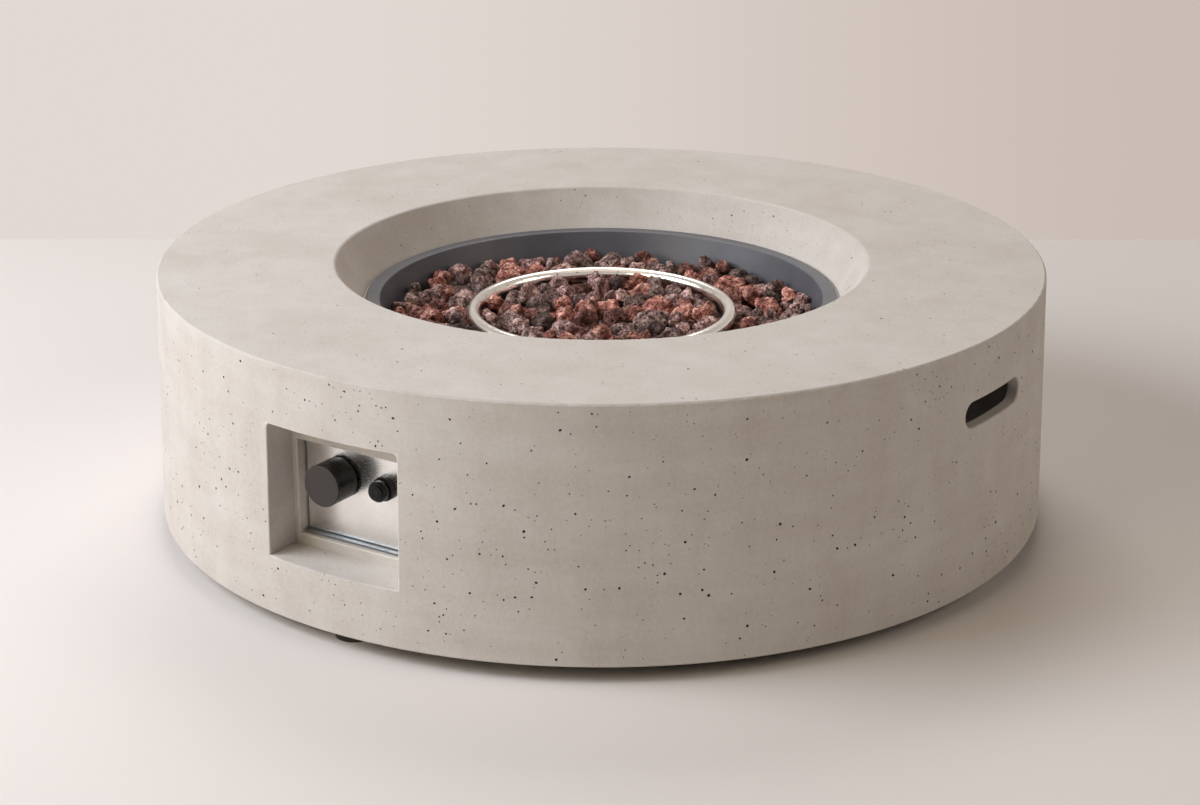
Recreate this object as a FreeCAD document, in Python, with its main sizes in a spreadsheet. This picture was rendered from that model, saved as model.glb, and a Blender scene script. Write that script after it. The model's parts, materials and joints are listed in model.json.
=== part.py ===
import FreeCAD, Part

import math
import os
import random
import re

import Sketcher

# Round concrete fire pit table with a gas burner. Millimetres, +Z up.
# The origin is on the floor, under the middle of the table. The control recess faces -Y and the
# hand slots are at +X and -X.

V = FreeCAD.Vector

DIMENSIONS = {
    # concrete shell
    "top_radius": 527,
    "base_radius": 533.5,
    "body_height": 290,
    "floor_gap": 18,
    "wall": 13,
    "slab": 22,
    "mouth_radius": 318,
    "mouth_slope": 32,
    "ledge_width": 16,
    "ledge_depth": 50,
    "ledge_thickness": 26,
    "rim_fillet": 2.5,
    "base_fillet": 2,
    "mouth_fillet": 5,
    # control recess
    "recess_half": 87.3,
    "recess_rise": 67.4,
    "recess_height": 152,
    "recess_depth": 47,
    "recess_corner": 6,
    "recess_fillet": 1.5,
    "recess_side": 25,
    "recess_floor": 28,
    "back_wall": 28,
    "window_half": 81,
    "window_rise": 12,
    "window_height": 110,
    "window_fillet": 2.5,
    "cut_margin": 20,
    # hand slots
    "slot_length": 126.5,
    "slot_width": 29.5,
    "slot_drop": 79,
    "slot_forward": 15.5,
    "slot_fillet": 2,
    # feet
    "foot_inset": 43.5,
    "foot_boss": 37,
    "foot_boss_height": 60,
    "foot_radius": 22,
    "foot_top_radius": 20,
    "foot_counterbore": 9,
    "foot_counterbore_depth": 8,
    "foot_screw": 4,
    "foot_screw_head": 7.5,
    "foot_screw_head_height": 4.5,
    "foot_screw_length": 42,
    "foot_insert": 7,
    "foot_insert_length": 38,
    # pan
    "pan_gap": 3,
    "pan_rim_width": 17,
    "pan_rim_height": 4,
    "pan_rim_fillet": 1.9,
    "pan_depth": 55,
    "pan_slope": 17.4,
    "pan_sheet": 2,
    "pan_drain": 5,
    "drain_inset": 43.6,
    # burner
    "ring_radius": 155,
    "ring_tube": 8.5,
    "ring_wall": 1.2,
    "ring_drop": 70,
    "cross_drop": 91.5,
    "cross_tube": 6.5,
    "riser_tube": 6,
    "hub_radius": 12.5,
    "hub_half": 6.5,
    "feed_radius": 10.5,
    "feed_length": 50,
    "port_radius": 1,
    "port_angle": 35,
    "feed_nut_flats": 28,
    "feed_nut_height": 6.5,
    # mixer
    "mixer_radius": 14,
    "mixer_height": 62,
    "mixer_floor": 6,
    "mixer_overlap": 14,
    "mixer_collar": 16,
    "mixer_collar_height": 4,
    "mixer_collar_rise": 10,
    "mixer_slot_width": 8,
    "mixer_slot_height": 20,
    "shutter_wall": 1.6,
    "shutter_height": 28,
    # gas line
    "pipe_thread": 6.5,
    "pipe_bore": 4.5,
    "flare_radius": 7.94,
    "flare_length": 15,
    "elbow_body": 9,
    "elbow_arm_radius": 8,
    "elbow_up_bore_radius": 4,
    "elbow_drop": 12,
    "elbow_reach": 16,
    "hose_radius": 6,
    "hose_nut_flats": 19,
    "hose_nut_length": 14,
    "ferrule_radius": 8.5,
    "ferrule_length": 20,
    # panel and tray
    "sheet": 1.5,
    "panel_setback": 13.5,
    "panel_side_gap": 3,
    "panel_top_gap": 2,
    "panel_slot": 1.5,
    "tray_gap": 1,
    "tray_lip": 9,
    "tray_ledge": 16,
    "tray_flange": 22,
    "stud_radius": 2,
    "stud_length": 9,
    "stud_inset": 8,
    "stud_nut_flats": 7,
    "stud_nut_height": 3.2,
    "tray_screw": 2.5,
    "tray_screw_head": 4.5,
    "tray_screw_head_height": 3,
    "tray_screw_length": 16,
    "tray_plug": 4,
    "tray_plug_length": 18,
    "tray_screw_inset": 10,
    # controls
    "control_rise": 85,
    "knob_across": 30,
    "igniter_across": 30,
    "knob_radius": 23.5,
    "knob_length": 32,
    "knob_gap": 4,
    "knob_face": 5,
    "knob_skin": 4.5,
    "knob_hub": 7,
    "knob_hub_recess": 5,
    "knob_edge": 1.2,
    "knob_push_travel": 3,
    "stem_radius": 3,
    "stem_flat": 2,
    "stem_front": 26,
    "stem_collar": 7,
    "stem_collar_height": 2,
    "fit": 0.05,
    # valve, depths measured behind the panel's front face
    "valve_half": 20,
    "valve_up": 19,
    "valve_down": 34,
    "valve_back": 72,
    "neck_radius": 8,
    "neck_front": 5,
    "neck_gap": 0.2,
    "valve_nut_flats": 24,
    "valve_nut_height": 3.5,
    "spring_room": 7.5,
    "spring_room_front": 8,
    "plug_front": 26,
    "plug_length": 22,
    "plug_front_radius": 12,
    "plug_back_radius": 10,
    "stem_tail": 40,
    "pin_radius": 2,
    "pin_back": 60.5,
    "magnet_room": 8,
    "magnet_front": 66,
    "magnet_back": 90,
    "magnet_head": 10,
    "magnet_head_length": 10,
    "spring_wire": 0.5,
    "spring_radius": 5.5,
    "outlet_drop": 22,
    "inlet_back": 36,
    "fitting_thread": 8,
    "fitting_hex_length": 8,
    # igniter
    "collar_radius": 13.7,
    "collar_length": 8,
    "collar_rib": 0.5,
    "housing_radius": 11,
    "housing_bore": 8.5,
    "housing_back": 78,
    "housing_front": 6,
    "housing_gap": 0.2,
    "button_radius": 11.7,
    "button_spare": 0.5,
    "button_length": 11,
    "button_travel": 2,
    "button_stem_back": 6,
    "igniter_nut_flats": 28,
    "igniter_nut_height": 5,
    "battery_radius": 7.1,
    "battery_length": 50,
    "battery_tip": 2.7,
    "battery_tip_height": 1.2,
    "battery_front": 20,
    "igniter_spring_radius": 3.6,
    "end_cap_length": 6,
    # probes
    "probe_inset": 27,
    "probe_angle": 30,
    "insulator_radius": 4.5,
    "insulator_low": 14,
    "insulator_high": 22,
    "electrode_wire": 1.2,
    "electrode_high": 28,
    "couple_radius": 2.5,
    "couple_high": 26,
    "bracket_plate": 1.5,
    "bracket_half": 8,
    "bracket_length": 26,
    "bracket_tube_wall": 1.5,
    "bracket_tube_height": 9,
    "bracket_screw": 2,
    "bracket_screw_head": 3.6,
    "bracket_screw_head_height": 2.4,
    "bracket_screw_length": 7,
    "spark_lead_radius": 2.5,
    "couple_lead_radius": 1.25,
    # lava rock
    "rock_small": 12,
    "rock_large": 25,
    "rock_top_drop": 61,
    "rock_clearance": 0.1,
    "rock_press": 0.21,
}

FOOT_COUNT = 4

# Sizes that follow from others
DERIVED = {
    "narrow_radius": "min(top_radius; base_radius)",
    "wide_radius": "max(top_radius; base_radius)",
    "ledge_radius": "mouth_radius - mouth_slope",
    "ledge_hole": "mouth_radius - mouth_slope - ledge_width",
    "pan_rim": "mouth_radius - mouth_slope - pan_gap",
    "pan_wall_across": "1.1 * pan_sheet",
    "foot_circle": "base_radius - foot_inset",
    "probe_circle": "ring_radius - probe_inset",
    "button_gap": "button_travel + button_spare",
}

doc = FreeCAD.newDocument("fire_pit_table")
sheet = doc.addObject("Spreadsheet::Sheet", "dims")
cells = [(alias, str(number)) for alias, number in DIMENSIONS.items()]
cells += [(alias, "=" + text) for alias, text in DERIVED.items()]
for row, (alias, content) in enumerate(cells, 1):
    sheet.set("A%d" % row, alias.replace("_", " "))
    sheet.setAlias("B%d" % row, alias)
    sheet.set("B%d" % row, content)
doc.recompute()


def size(alias):
    """The number that the sheet holds under an alias."""
    return float(sheet.get(alias))


def formula(text):
    """A formula of aliases, written as the document's expressions want it."""
    def cell(word):
        name = word.group(0)
        return "dims." + name if name in DIMENSIONS or name in DERIVED else name
    return re.sub(r"[a-z_]+", cell, text)


# Heights above the floor, and distances from the middle towards the control side
TOP = "(floor_gap + body_height)"
LEDGE = "(floor_gap + body_height - ledge_depth)"
PAN_FLOOR = "(floor_gap + body_height - ledge_depth - pan_depth)"
PAN_UNDER = "(floor_gap + body_height - ledge_depth - pan_depth - pan_sheet)"
CROSS = "(floor_gap + body_height - cross_drop)"
RING = "(floor_gap + body_height - ring_drop)"
FEED_END = "(floor_gap + body_height - cross_drop - feed_length)"
MIXER_LOW = "(floor_gap + body_height - cross_drop - feed_length + mixer_overlap - mixer_height)"
RECESS_LOW = "(floor_gap + recess_rise)"
RECESS_HIGH = "(floor_gap + recess_rise + recess_height)"
WINDOW_LOW = "(floor_gap + recess_rise + window_rise)"
WINDOW_HIGH = "(floor_gap + recess_rise + window_rise + window_height)"
CONTROL = "(floor_gap + recess_rise + control_rise)"
SHELF_Y = "(narrow_radius - recess_depth)"
PANEL_Y = "(narrow_radius - recess_depth - panel_setback)"
BOSS_Y = "(narrow_radius - recess_depth - back_wall)"
PAN_FLOOR_RADIUS = "(pan_rim - pan_rim_width - pan_slope)"

NODES = []


def node(thing, label):
    """Marks a document object as one piece of the table."""
    thing.Label = label
    NODES.append(thing)
    return thing


def bind(thing, **formulas):
    for prop, text in formulas.items():
        thing.setExpression(prop, formula(text))


def place(thing, at, rotation=None):
    """Puts an object at three formulas, turned by a rotation."""
    thing.Placement = FreeCAD.Placement(V(0, 0, 0), rotation or FreeCAD.Rotation())
    for axis, text in zip("xyz", at):
        thing.setExpression("Placement.Base." + axis, formula(text))


ALONG_X = FreeCAD.Rotation(V(0, 1, 0), 90)
ALONG_BACK = FreeCAD.Rotation(V(1, 0, 0), -90)
ALONG_FRONT = FreeCAD.Rotation(V(1, 0, 0), 90)
ALONG_DOWN = FreeCAD.Rotation(V(1, 0, 0), 180)


def cylinder(name, radius, height, at=("0", "0", "0"), rotation=None):
    thing = doc.addObject("Part::Cylinder", name)
    bind(thing, Radius=radius, Height=height)
    place(thing, at, rotation)
    return thing


def cone(name, low_radius, high_radius, height, at=("0", "0", "0"), rotation=None):
    thing = doc.addObject("Part::Cone", name)
    bind(thing, Radius1=low_radius, Radius2=high_radius, Height=height)
    place(thing, at, rotation)
    return thing


def box(name, length, width, height, at):
    """A block from its lowest corner."""
    thing = doc.addObject("Part::Box", name)
    bind(thing, Length=length, Width=width, Height=height)
    place(thing, at)
    return thing


def block(name, x_half, y_near, y_far, z_low, z_high):
    """A block about x = 0 that reaches from y_near to y_far, counted towards the control side."""
    return box(name, "2 * (%s)" % x_half, "(%s) - (%s)" % (y_far, y_near),
               "(%s) - (%s)" % (z_high, z_low), ("-(%s)" % x_half, "-(%s)" % y_far, z_low))


def prism(name, flats, height, at=("0", "0", "0"), rotation=None):
    """A hexagon bar whose width across flats is given."""
    thing = doc.addObject("Part::Prism", name)
    thing.Polygon = 6
    bind(thing, Circumradius="(%s) / sqrt(3)" % flats, Height=height)
    place(thing, at, rotation)
    return thing


def fuse(name, parts):
    thing = doc.addObject("Part::MultiFuse", name)
    thing.Shapes = parts
    thing.Refine = True
    return thing


def cut(name, base, tools):
    thing = doc.addObject("Part::Cut", name)
    thing.Base = base
    thing.Tool = tools[0] if len(tools) == 1 else fuse(name + "_tools", tools)
    thing.Refine = True
    return thing


def group(name, parts):
    thing = doc.addObject("Part::Compound", name)
    thing.Links = parts
    return thing


def new_body(name):
    return doc.addObject("PartDesign::Body", name)


def new_sketch(body, name, role, offset="0"):
    """A sketch on one of the body's own origin planes, moved along its normal."""
    sketch = body.newObject("Sketcher::SketchObject", name)
    plane = [feature for feature in body.Origin.OriginFeatures if feature.Role == role][0]
    sketch.AttachmentSupport = (plane, [""])
    sketch.MapMode = "FlatFace"
    sketch.setExpression("AttachmentOffset.Base.z", formula(offset))
    return sketch


def pin_point(sketch, edge, end, across, up, start=(1.0, 1.0)):
    """Holds a point at two formulas. start is where the point is drawn at first."""
    for kind, text, number in (("DistanceX", across, start[0]), ("DistanceY", up, start[1])):
        index = sketch.addConstraint(Sketcher.Constraint(kind, -1, 1, edge, end, number))
        sketch.setExpression("Constraints[%d]" % index, formula(text))


def outline(sketch, corners):
    """A closed outline of straight sides through corners given as pairs of formulas."""
    count = len(corners)
    first = len(sketch.Geometry)
    start = [V(50 + 10 * math.cos(2 * math.pi * k / count), 10 * math.sin(2 * math.pi * k / count), 0)
             for k in range(count)]
    for k in range(count):
        sketch.addGeometry(Part.LineSegment(start[k], start[(k + 1) % count]), False)
    for k in range(count):
        after = first + (k + 1) % count
        sketch.addConstraint(Sketcher.Constraint("Coincident", first + k, 2, after, 1))
    for k, (across, up) in enumerate(corners):
        pin_point(sketch, first + k, 1, across, up)


def rectangle(sketch, left, right, low, high):
    outline(sketch, [(left, low), (right, low), (right, high), (left, high)])


def ring_line(sketch, across, up, radius):
    edge = sketch.addGeometry(Part.Circle(V(20, 20, 0), V(0, 0, 1), 5), False)
    pin_point(sketch, edge, 3, across, up)
    index = sketch.addConstraint(Sketcher.Constraint("Radius", edge, 5.0))
    sketch.setExpression("Constraints[%d]" % index, formula(radius))


def revolve(body, name, sketch):
    feature = body.newObject("PartDesign::Revolution", name)
    feature.Profile = sketch
    feature.ReferenceAxis = (sketch, ["V_Axis"])
    feature.Angle = 360
    return feature


def pad(body, name, sketch, length, reverse=False):
    feature = body.newObject("PartDesign::Pad", name)
    feature.Profile = sketch
    feature.setExpression("Length", formula(length))
    feature.Reversed = reverse
    return feature


def pocket(body, name, sketch, length=None, reverse=False):
    """Cuts to a depth, or right through when no depth is given. The solid has to get smaller."""
    doc.recompute()
    before = body.Shape.Volume
    feature = body.newObject("PartDesign::Pocket", name)
    feature.Profile = sketch
    feature.Reversed = reverse
    if length is None:
        feature.Type = "ThroughAll"
    else:
        feature.setExpression("Length", formula(length))
    doc.recompute()
    if body.Shape.Volume > before - 0.1:
        raise RuntimeError(name + " cuts nothing")
    return feature


def round_edges(body, name, radius, choose):
    """Fillets the edges of the body's tip that choose() picks."""
    doc.recompute()
    tip = body.Tip
    names = ["Edge%d" % (k + 1) for k, edge in enumerate(tip.Shape.Edges) if choose(edge)]
    feature = body.newObject("PartDesign::Fillet", name)
    feature.Base = (tip, names)
    feature.setExpression("Radius", formula(radius))
    return feature


def profile_body(name, corners, role="XZ_Plane"):
    """A body turned from one closed outline of (radius, height) corners."""
    body = new_body(name)
    sketch = new_sketch(body, name + "_profile", role)
    outline(sketch, corners)
    revolve(body, name + "_turned", sketch)
    return body


def is_circle_at(edge, radius, height):
    """Whether an edge is a circle about the z axis with this radius and height."""
    curve = edge.Curve
    if not isinstance(curve, Part.Circle):
        return False
    off_axis = math.hypot(curve.Center.x, curve.Center.y)
    return off_axis < 0.01 and abs(curve.Radius - radius) < 0.01 and abs(curve.Center.z - height) < 0.01


def on_cone(edge, inward, inside):
    """Whether an edge lies on the shell's outside, or that far within it, where inside() holds."""
    lean = (size("top_radius") - size("base_radius")) / size("body_height")
    for point in edge.discretize(9):
        radius = size("base_radius") + lean * (point.z - size("floor_gap")) - inward
        if abs(math.hypot(point.x, point.y) - radius) > 0.02 or not inside(point):
            return False
    return True


def foot_angles():
    return [math.radians(-90 + 360 / FOOT_COUNT * k) for k in range(FOOT_COUNT)]


# Concrete body
def make_concrete():
    name = "concrete_body"
    body = new_body(name)
    under = "(%s - ledge_thickness)" % LEDGE
    cone_out = "(ledge_radius + wall * 0.75)"
    mouth_out = "(mouth_radius + wall)"
    inner_top = "(top_radius - wall)"
    inner_base = "(base_radius - wall)"
    sketch = new_sketch(body, "shell_profile", "XZ_Plane")
    outline(sketch, [
        ("base_radius", "floor_gap"), ("top_radius", TOP), ("mouth_radius", TOP),
        ("ledge_radius", LEDGE), ("ledge_hole", LEDGE), ("ledge_hole", under), (cone_out, under),
        (mouth_out, TOP + " - slab"), (inner_top, TOP + " - slab"), (inner_base, "floor_gap")])
    revolve(body, "shell", sketch)

    # block behind the recess, from the recess's back to the wall
    sketch = new_sketch(body, "boss_outline", "XZ_Plane", BOSS_Y)
    rectangle(sketch, "-(recess_half + recess_side)", "recess_half + recess_side",
              RECESS_LOW + " - recess_floor", TOP + " - slab / 2")
    pad(body, "recess_boss", sketch, "wide_radius + cut_margin - %s" % BOSS_Y)

    # one boss over each foot
    for k, angle in enumerate(foot_angles()):
        sketch = new_sketch(body, "foot_boss_outline_%d" % k, "XY_Plane", "floor_gap")
        ring_line(sketch, "foot_circle * %.9f" % math.cos(angle),
                  "foot_circle * %.9f" % math.sin(angle), "foot_boss")
        pad(body, "foot_boss_%d" % k, sketch, "foot_boss_height")

    # the block and the bosses end at the outside of the shell
    sketch = new_sketch(body, "outside_profile", "XZ_Plane")
    outline(sketch, [("base_radius", "floor_gap"), ("top_radius", TOP),
                     ("wide_radius + 3 * cut_margin", TOP), ("wide_radius + 3 * cut_margin", "floor_gap")])
    trim = body.newObject("PartDesign::Groove", "outside_trim")
    trim.Profile = sketch
    trim.ReferenceAxis = (sketch, ["V_Axis"])
    trim.Angle = 360

    # recess in two steps, the second right through
    sketch = new_sketch(body, "recess_outline", "XZ_Plane", "wide_radius + cut_margin")
    rectangle(sketch, "-recess_half", "recess_half", RECESS_LOW, RECESS_HIGH)
    pocket(body, "recess", sketch, "wide_radius + cut_margin - %s" % SHELF_Y)
    sketch = new_sketch(body, "window_outline", "XZ_Plane", SHELF_Y + " + 1")
    rectangle(sketch, "-window_half", "window_half", WINDOW_LOW, WINDOW_HIGH)
    pocket(body, "window", sketch, "back_wall + 2")

    # hand slots
    for side, sign in (("right", "1"), ("left", "-1")):
        sketch = new_sketch(body, "slot_outline_" + side, "YZ_Plane",
                            "%s * (wide_radius + cut_margin)" % sign)
        height = TOP + " - slot_drop"
        reach = "slot_length / 2 - slot_width / 2"
        slot_line(sketch, reach, height)
        pocket(body, "slot_" + side, sketch, "wide_radius - narrow_radius + wall + 2 * cut_margin",
               reverse=(side == "left"))

    # blind holes for the foot inserts and the tray plugs
    for k, angle in enumerate(foot_angles()):
        sketch = new_sketch(body, "insert_outline_%d" % k, "XY_Plane", "floor_gap")
        ring_line(sketch, "foot_circle * %.9f" % math.cos(angle),
                  "foot_circle * %.9f" % math.sin(angle), "foot_insert + fit")
        pocket(body, "insert_hole_%d" % k, sketch, "foot_insert_length + 1", reverse=True)
    sketch = new_sketch(body, "plug_outline", "XZ_Plane", BOSS_Y)
    for across, up in tray_screw_places():
        ring_line(sketch, across, up, "tray_plug + fit")
    pocket(body, "plug_holes", sketch, "tray_plug_length + 1", reverse=True)

    top = size("floor_gap") + size("body_height")
    round_edges(body, "top_edge", "rim_fillet",
                lambda edge: is_circle_at(edge, size("top_radius"), top))
    round_edges(body, "mouth_edge", "mouth_fillet",
                lambda edge: is_circle_at(edge, size("mouth_radius"), top))

    def recess_top_corner(edge):
        middle = edge.CenterOfMass
        high = size("floor_gap") + size("recess_rise") + size("recess_height")
        upright = edge.BoundBox.YLength
        return (abs(abs(middle.x) - size("recess_half")) < 0.01 and abs(middle.z - high) < 0.01
                and upright > 20)
    round_edges(body, "recess_corners", "recess_corner", recess_top_corner)

    shelf = size("narrow_radius") - size("recess_depth")
    window_middle = (size("floor_gap") + size("recess_rise") + size("window_rise")
                     + size("window_height") / 2)

    def window_front(edge):
        middle = edge.CenterOfMass
        return (edge.BoundBox.YLength < 0.01 and abs(middle.y + shelf) < 0.01
                and abs(middle.x) < size("window_half") + 0.01
                and abs(middle.z - window_middle) < size("window_height") / 2 + 0.01)
    round_edges(body, "window_edge", "window_fillet", window_front)
    round_edges(body, "base_edge", "base_fillet",
                lambda edge: is_circle_at(edge, size("base_radius"), size("floor_gap")))

    slot_height = top - size("slot_drop")
    round_edges(body, "slot_edges", "slot_fillet", lambda edge: on_cone(
        edge, 0, lambda point: abs(point.y + size("slot_forward")) < size("slot_length") / 2 + 0.1
        and abs(point.z - slot_height) < size("slot_width") / 2 + 0.1))
    low = size("floor_gap") + size("recess_rise")
    round_edges(body, "recess_edge", "recess_fillet", lambda edge: on_cone(
        edge, 0, lambda point: point.y < 0 and abs(point.x) < size("recess_half") + 0.1
        and low - 0.1 < point.z < low + size("recess_height") + 0.1))
    return node(body, name)


def slot_line(sketch, reach, height):
    """A round-ended slot, two straight sides and two half circles."""
    back = "%s - slot_forward" % reach
    front = "-(%s) - slot_forward" % reach
    high = height + " + slot_width / 2"
    low = height + " - slot_width / 2"
    r = size("slot_width") / 2
    a = size("slot_length") / 2 - r - size("slot_forward")
    b = -size("slot_length") / 2 + r - size("slot_forward")
    z = size("floor_gap") + size("body_height") - size("slot_drop")
    top = sketch.addGeometry(Part.LineSegment(V(b, z + r, 0), V(a, z + r, 0)), False)
    right = sketch.addGeometry(Part.Arc(V(a, z + r, 0), V(a + r, z, 0), V(a, z - r, 0)), False)
    low_side = sketch.addGeometry(Part.LineSegment(V(a, z - r, 0), V(b, z - r, 0)), False)
    left = sketch.addGeometry(Part.Arc(V(b, z - r, 0), V(b - r, z, 0), V(b, z + r, 0)), False)
    pin_point(sketch, top, 1, front, high, (b, z + r))
    pin_point(sketch, top, 2, back, high, (a, z + r))
    pin_point(sketch, low_side, 1, back, low, (a, z - r))
    pin_point(sketch, low_side, 2, front, low, (b, z - r))
    for arc, middle, text in ((right, a, back), (left, b, front)):
        index = sketch.addConstraint(Sketcher.Constraint("DistanceX", -1, 1, arc, 3, middle))
        sketch.setExpression("Constraints[%d]" % index, formula(text))
    # an arc drawn clockwise starts at its other end
    sketch.addConstraint(Sketcher.Constraint("Coincident", right, 2, top, 2))
    sketch.addConstraint(Sketcher.Constraint("Coincident", right, 1, low_side, 1))
    sketch.addConstraint(Sketcher.Constraint("Coincident", left, 2, low_side, 2))
    sketch.addConstraint(Sketcher.Constraint("Coincident", left, 1, top, 1))


def tray_screw_places():
    across = "window_half + tray_screw_inset"
    low = WINDOW_LOW + " + tray_screw_inset"
    high = WINDOW_HIGH + " - tray_screw_inset"
    return [(sign + "(" + across + ")", up) for sign in ("-", "") for up in (low, high)]


# Feet
def make_feet():
    for k, angle in enumerate(foot_angles()):
        name = "foot_pad_%d" % (k + 1)
        body = profile_body(name, [
            ("foot_screw + 0.3", "floor_gap"), ("foot_top_radius", "floor_gap"),
            ("foot_radius", "2"), ("foot_radius", "0"), ("foot_counterbore", "0"),
            ("foot_counterbore", "foot_counterbore_depth"),
            ("foot_screw + 0.3", "foot_counterbore_depth")])
        place(body, ("foot_circle * %.9f" % math.cos(angle),
                     "foot_circle * %.9f" % math.sin(angle), "0"))
        node(body, name)
    screws = []
    inserts = []
    for k, angle in enumerate(foot_angles()):
        x = "foot_circle * %.9f" % math.cos(angle)
        y = "foot_circle * %.9f" % math.sin(angle)
        seat = "foot_counterbore_depth - foot_screw_head_height"
        head = cylinder("foot_head_%d" % k, "foot_screw_head", "foot_screw_head_height", (x, y, seat))
        shank = cylinder("foot_shank_%d" % k, "foot_screw", "foot_screw_length + 1",
                         (x, y, "foot_counterbore_depth - 1"))
        drive = prism("foot_drive_%d" % k, "6", "2.5", (x, y, seat))
        screws.append(cut("foot_screw_%d" % k, fuse("foot_screw_raw_%d" % k, [head, shank]), [drive]))
        tube = cylinder("insert_tube_%d" % k, "foot_insert", "foot_insert_length", (x, y, "floor_gap"))
        bore = cylinder("insert_bore_%d" % k, "foot_screw + fit", "foot_insert_length + 2",
                        (x, y, "floor_gap - 1"))
        inserts.append(cut("foot_insert_%d" % k, tube, [bore]))
    node(group("all_foot_screws", screws), "foot_screws")
    node(group("all_foot_inserts", inserts), "foot_inserts")


# Burner pan
def make_pan():
    wall_out = "pan_rim - pan_rim_width + pan_wall_across"
    body = profile_body("burner_pan", [
        ("pan_rim", LEDGE), (wall_out, LEDGE), (PAN_FLOOR_RADIUS + " + pan_wall_across", PAN_UNDER),
        ("feed_radius + 0.5", PAN_UNDER), ("feed_radius + 0.5", PAN_FLOOR),
        (PAN_FLOOR_RADIUS, PAN_FLOOR),
        ("pan_rim - pan_rim_width", LEDGE + " + pan_rim_height"),
        ("pan_rim", LEDGE + " + pan_rim_height")])
    sketch = new_sketch(body, "drain_outline", "XY_Plane", PAN_FLOOR + " + 1")
    ring_line(sketch, PAN_FLOOR_RADIUS + " - drain_inset", "0", "pan_drain")
    drain = pocket(body, "drain_hole", sketch, "pan_sheet + 2")
    pattern = body.newObject("PartDesign::PolarPattern", "drain_holes")
    pattern.Originals = [drain]
    pattern.Axis = ([f for f in body.Origin.OriginFeatures if f.Role == "Z_Axis"][0], [""])
    pattern.Angle = 360
    pattern.Occurrences = 6
    body.Tip = pattern
    sketch = new_sketch(body, "probe_outline", "XY_Plane", PAN_FLOOR + " + 1")
    for x, y in probe_places():
        ring_line(sketch, x, y, "insulator_radius + 0.5")
    pocket(body, "probe_holes", sketch, "pan_sheet + 2")
    sketch = new_sketch(body, "probe_screw_outline", "XY_Plane", PAN_FLOOR + " + 1")
    for x, y in probe_places("bracket_length - 2 * bracket_half"):
        ring_line(sketch, x, y, "bracket_screw + fit")
    pocket(body, "probe_screw_holes", sketch, "pan_sheet + 2")
    rim_top = (size("floor_gap") + size("body_height") - size("ledge_depth")
               + size("pan_rim_height"))
    inner = size("pan_rim") - size("pan_rim_width")
    round_edges(body, "rim_bead", "pan_rim_fillet",
                lambda edge: is_circle_at(edge, size("pan_rim"), rim_top)
                or is_circle_at(edge, inner, rim_top))
    return node(body, "burner_pan")


def probe_places(inward="0"):
    """Where the electrode and the thermocouple stand, as formulas; inward moves them to the middle."""
    reach = "(probe_circle - (%s))" % inward
    return [("%s * sin(%s * probe_angle)" % (reach, sign), "-%s * cos(probe_angle)" % reach)
            for sign in ("1", "-1")]


# Burner
def make_burner():
    def tubes(prefix, inset):
        torus = doc.addObject("Part::Torus", prefix + "_torus")
        bind(torus, Radius1="ring_radius", Radius2="ring_tube - %s" % inset)
        place(torus, ("0", "0", RING))
        reach = "(ring_radius + riser_tube + 1 - %s)" % inset
        cross = cylinder(prefix + "_cross", "cross_tube - %s" % inset, "2 * " + reach,
                         ("-" + reach, "0", CROSS), ALONG_X)
        risers = [cylinder("%s_riser_%s" % (prefix, side), "riser_tube - %s" % inset,
                           "cross_drop - ring_drop", (sign + "ring_radius", "0", CROSS))
                  for side, sign in (("right", ""), ("left", "-"))]
        feed = cylinder(prefix + "_feed", "feed_radius - 2.5 * %s" % inset,
                        "feed_length" if inset == "0" else "feed_length + 1",
                        ("0", "0", FEED_END if inset == "0" else FEED_END + " - 1"))
        return [torus, cross] + risers + [feed]

    hub = cylinder("burner_hub", "hub_radius", "2 * hub_half", ("0", "0", CROSS + " - hub_half"))
    raw = fuse("burner_outside", tubes("outer", "0") + [hub])
    hollow = fuse("burner_inside", tubes("inner", "ring_wall"))
    ports = []
    for k in range(36):
        angle = 10 * k + 5
        port = doc.addObject("Part::Cylinder", "port_%d" % k)
        bind(port, Radius="port_radius", Height="ring_tube + 2")
        turn = FreeCAD.Rotation(V(0, 0, 1), angle)
        lean = FreeCAD.Rotation(V(0, 1, 0), -(90 - size("port_angle")))
        place(port, ("ring_radius * cos(%d)" % angle, "ring_radius * sin(%d)" % angle, RING),
              turn.multiply(lean))
        ports.append(port)
    ring = cut("burner_ring_piece", raw, [hollow] + ports)
    node(ring, "burner_ring")

    nuts = []
    for side, low in (("upper", PAN_FLOOR), ("lower", PAN_UNDER + " - feed_nut_height")):
        bar = prism("feed_nut_bar_" + side, "feed_nut_flats", "feed_nut_height", ("0", "0", low))
        bore = cylinder("feed_nut_bore_" + side, "feed_radius + fit", "feed_nut_height + 2",
                        ("0", "0", low + " - 1"))
        nuts.append(cut("feed_nut_" + side, bar, [bore]))
    node(group("feed_nuts", nuts), "burner_locknuts")


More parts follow.
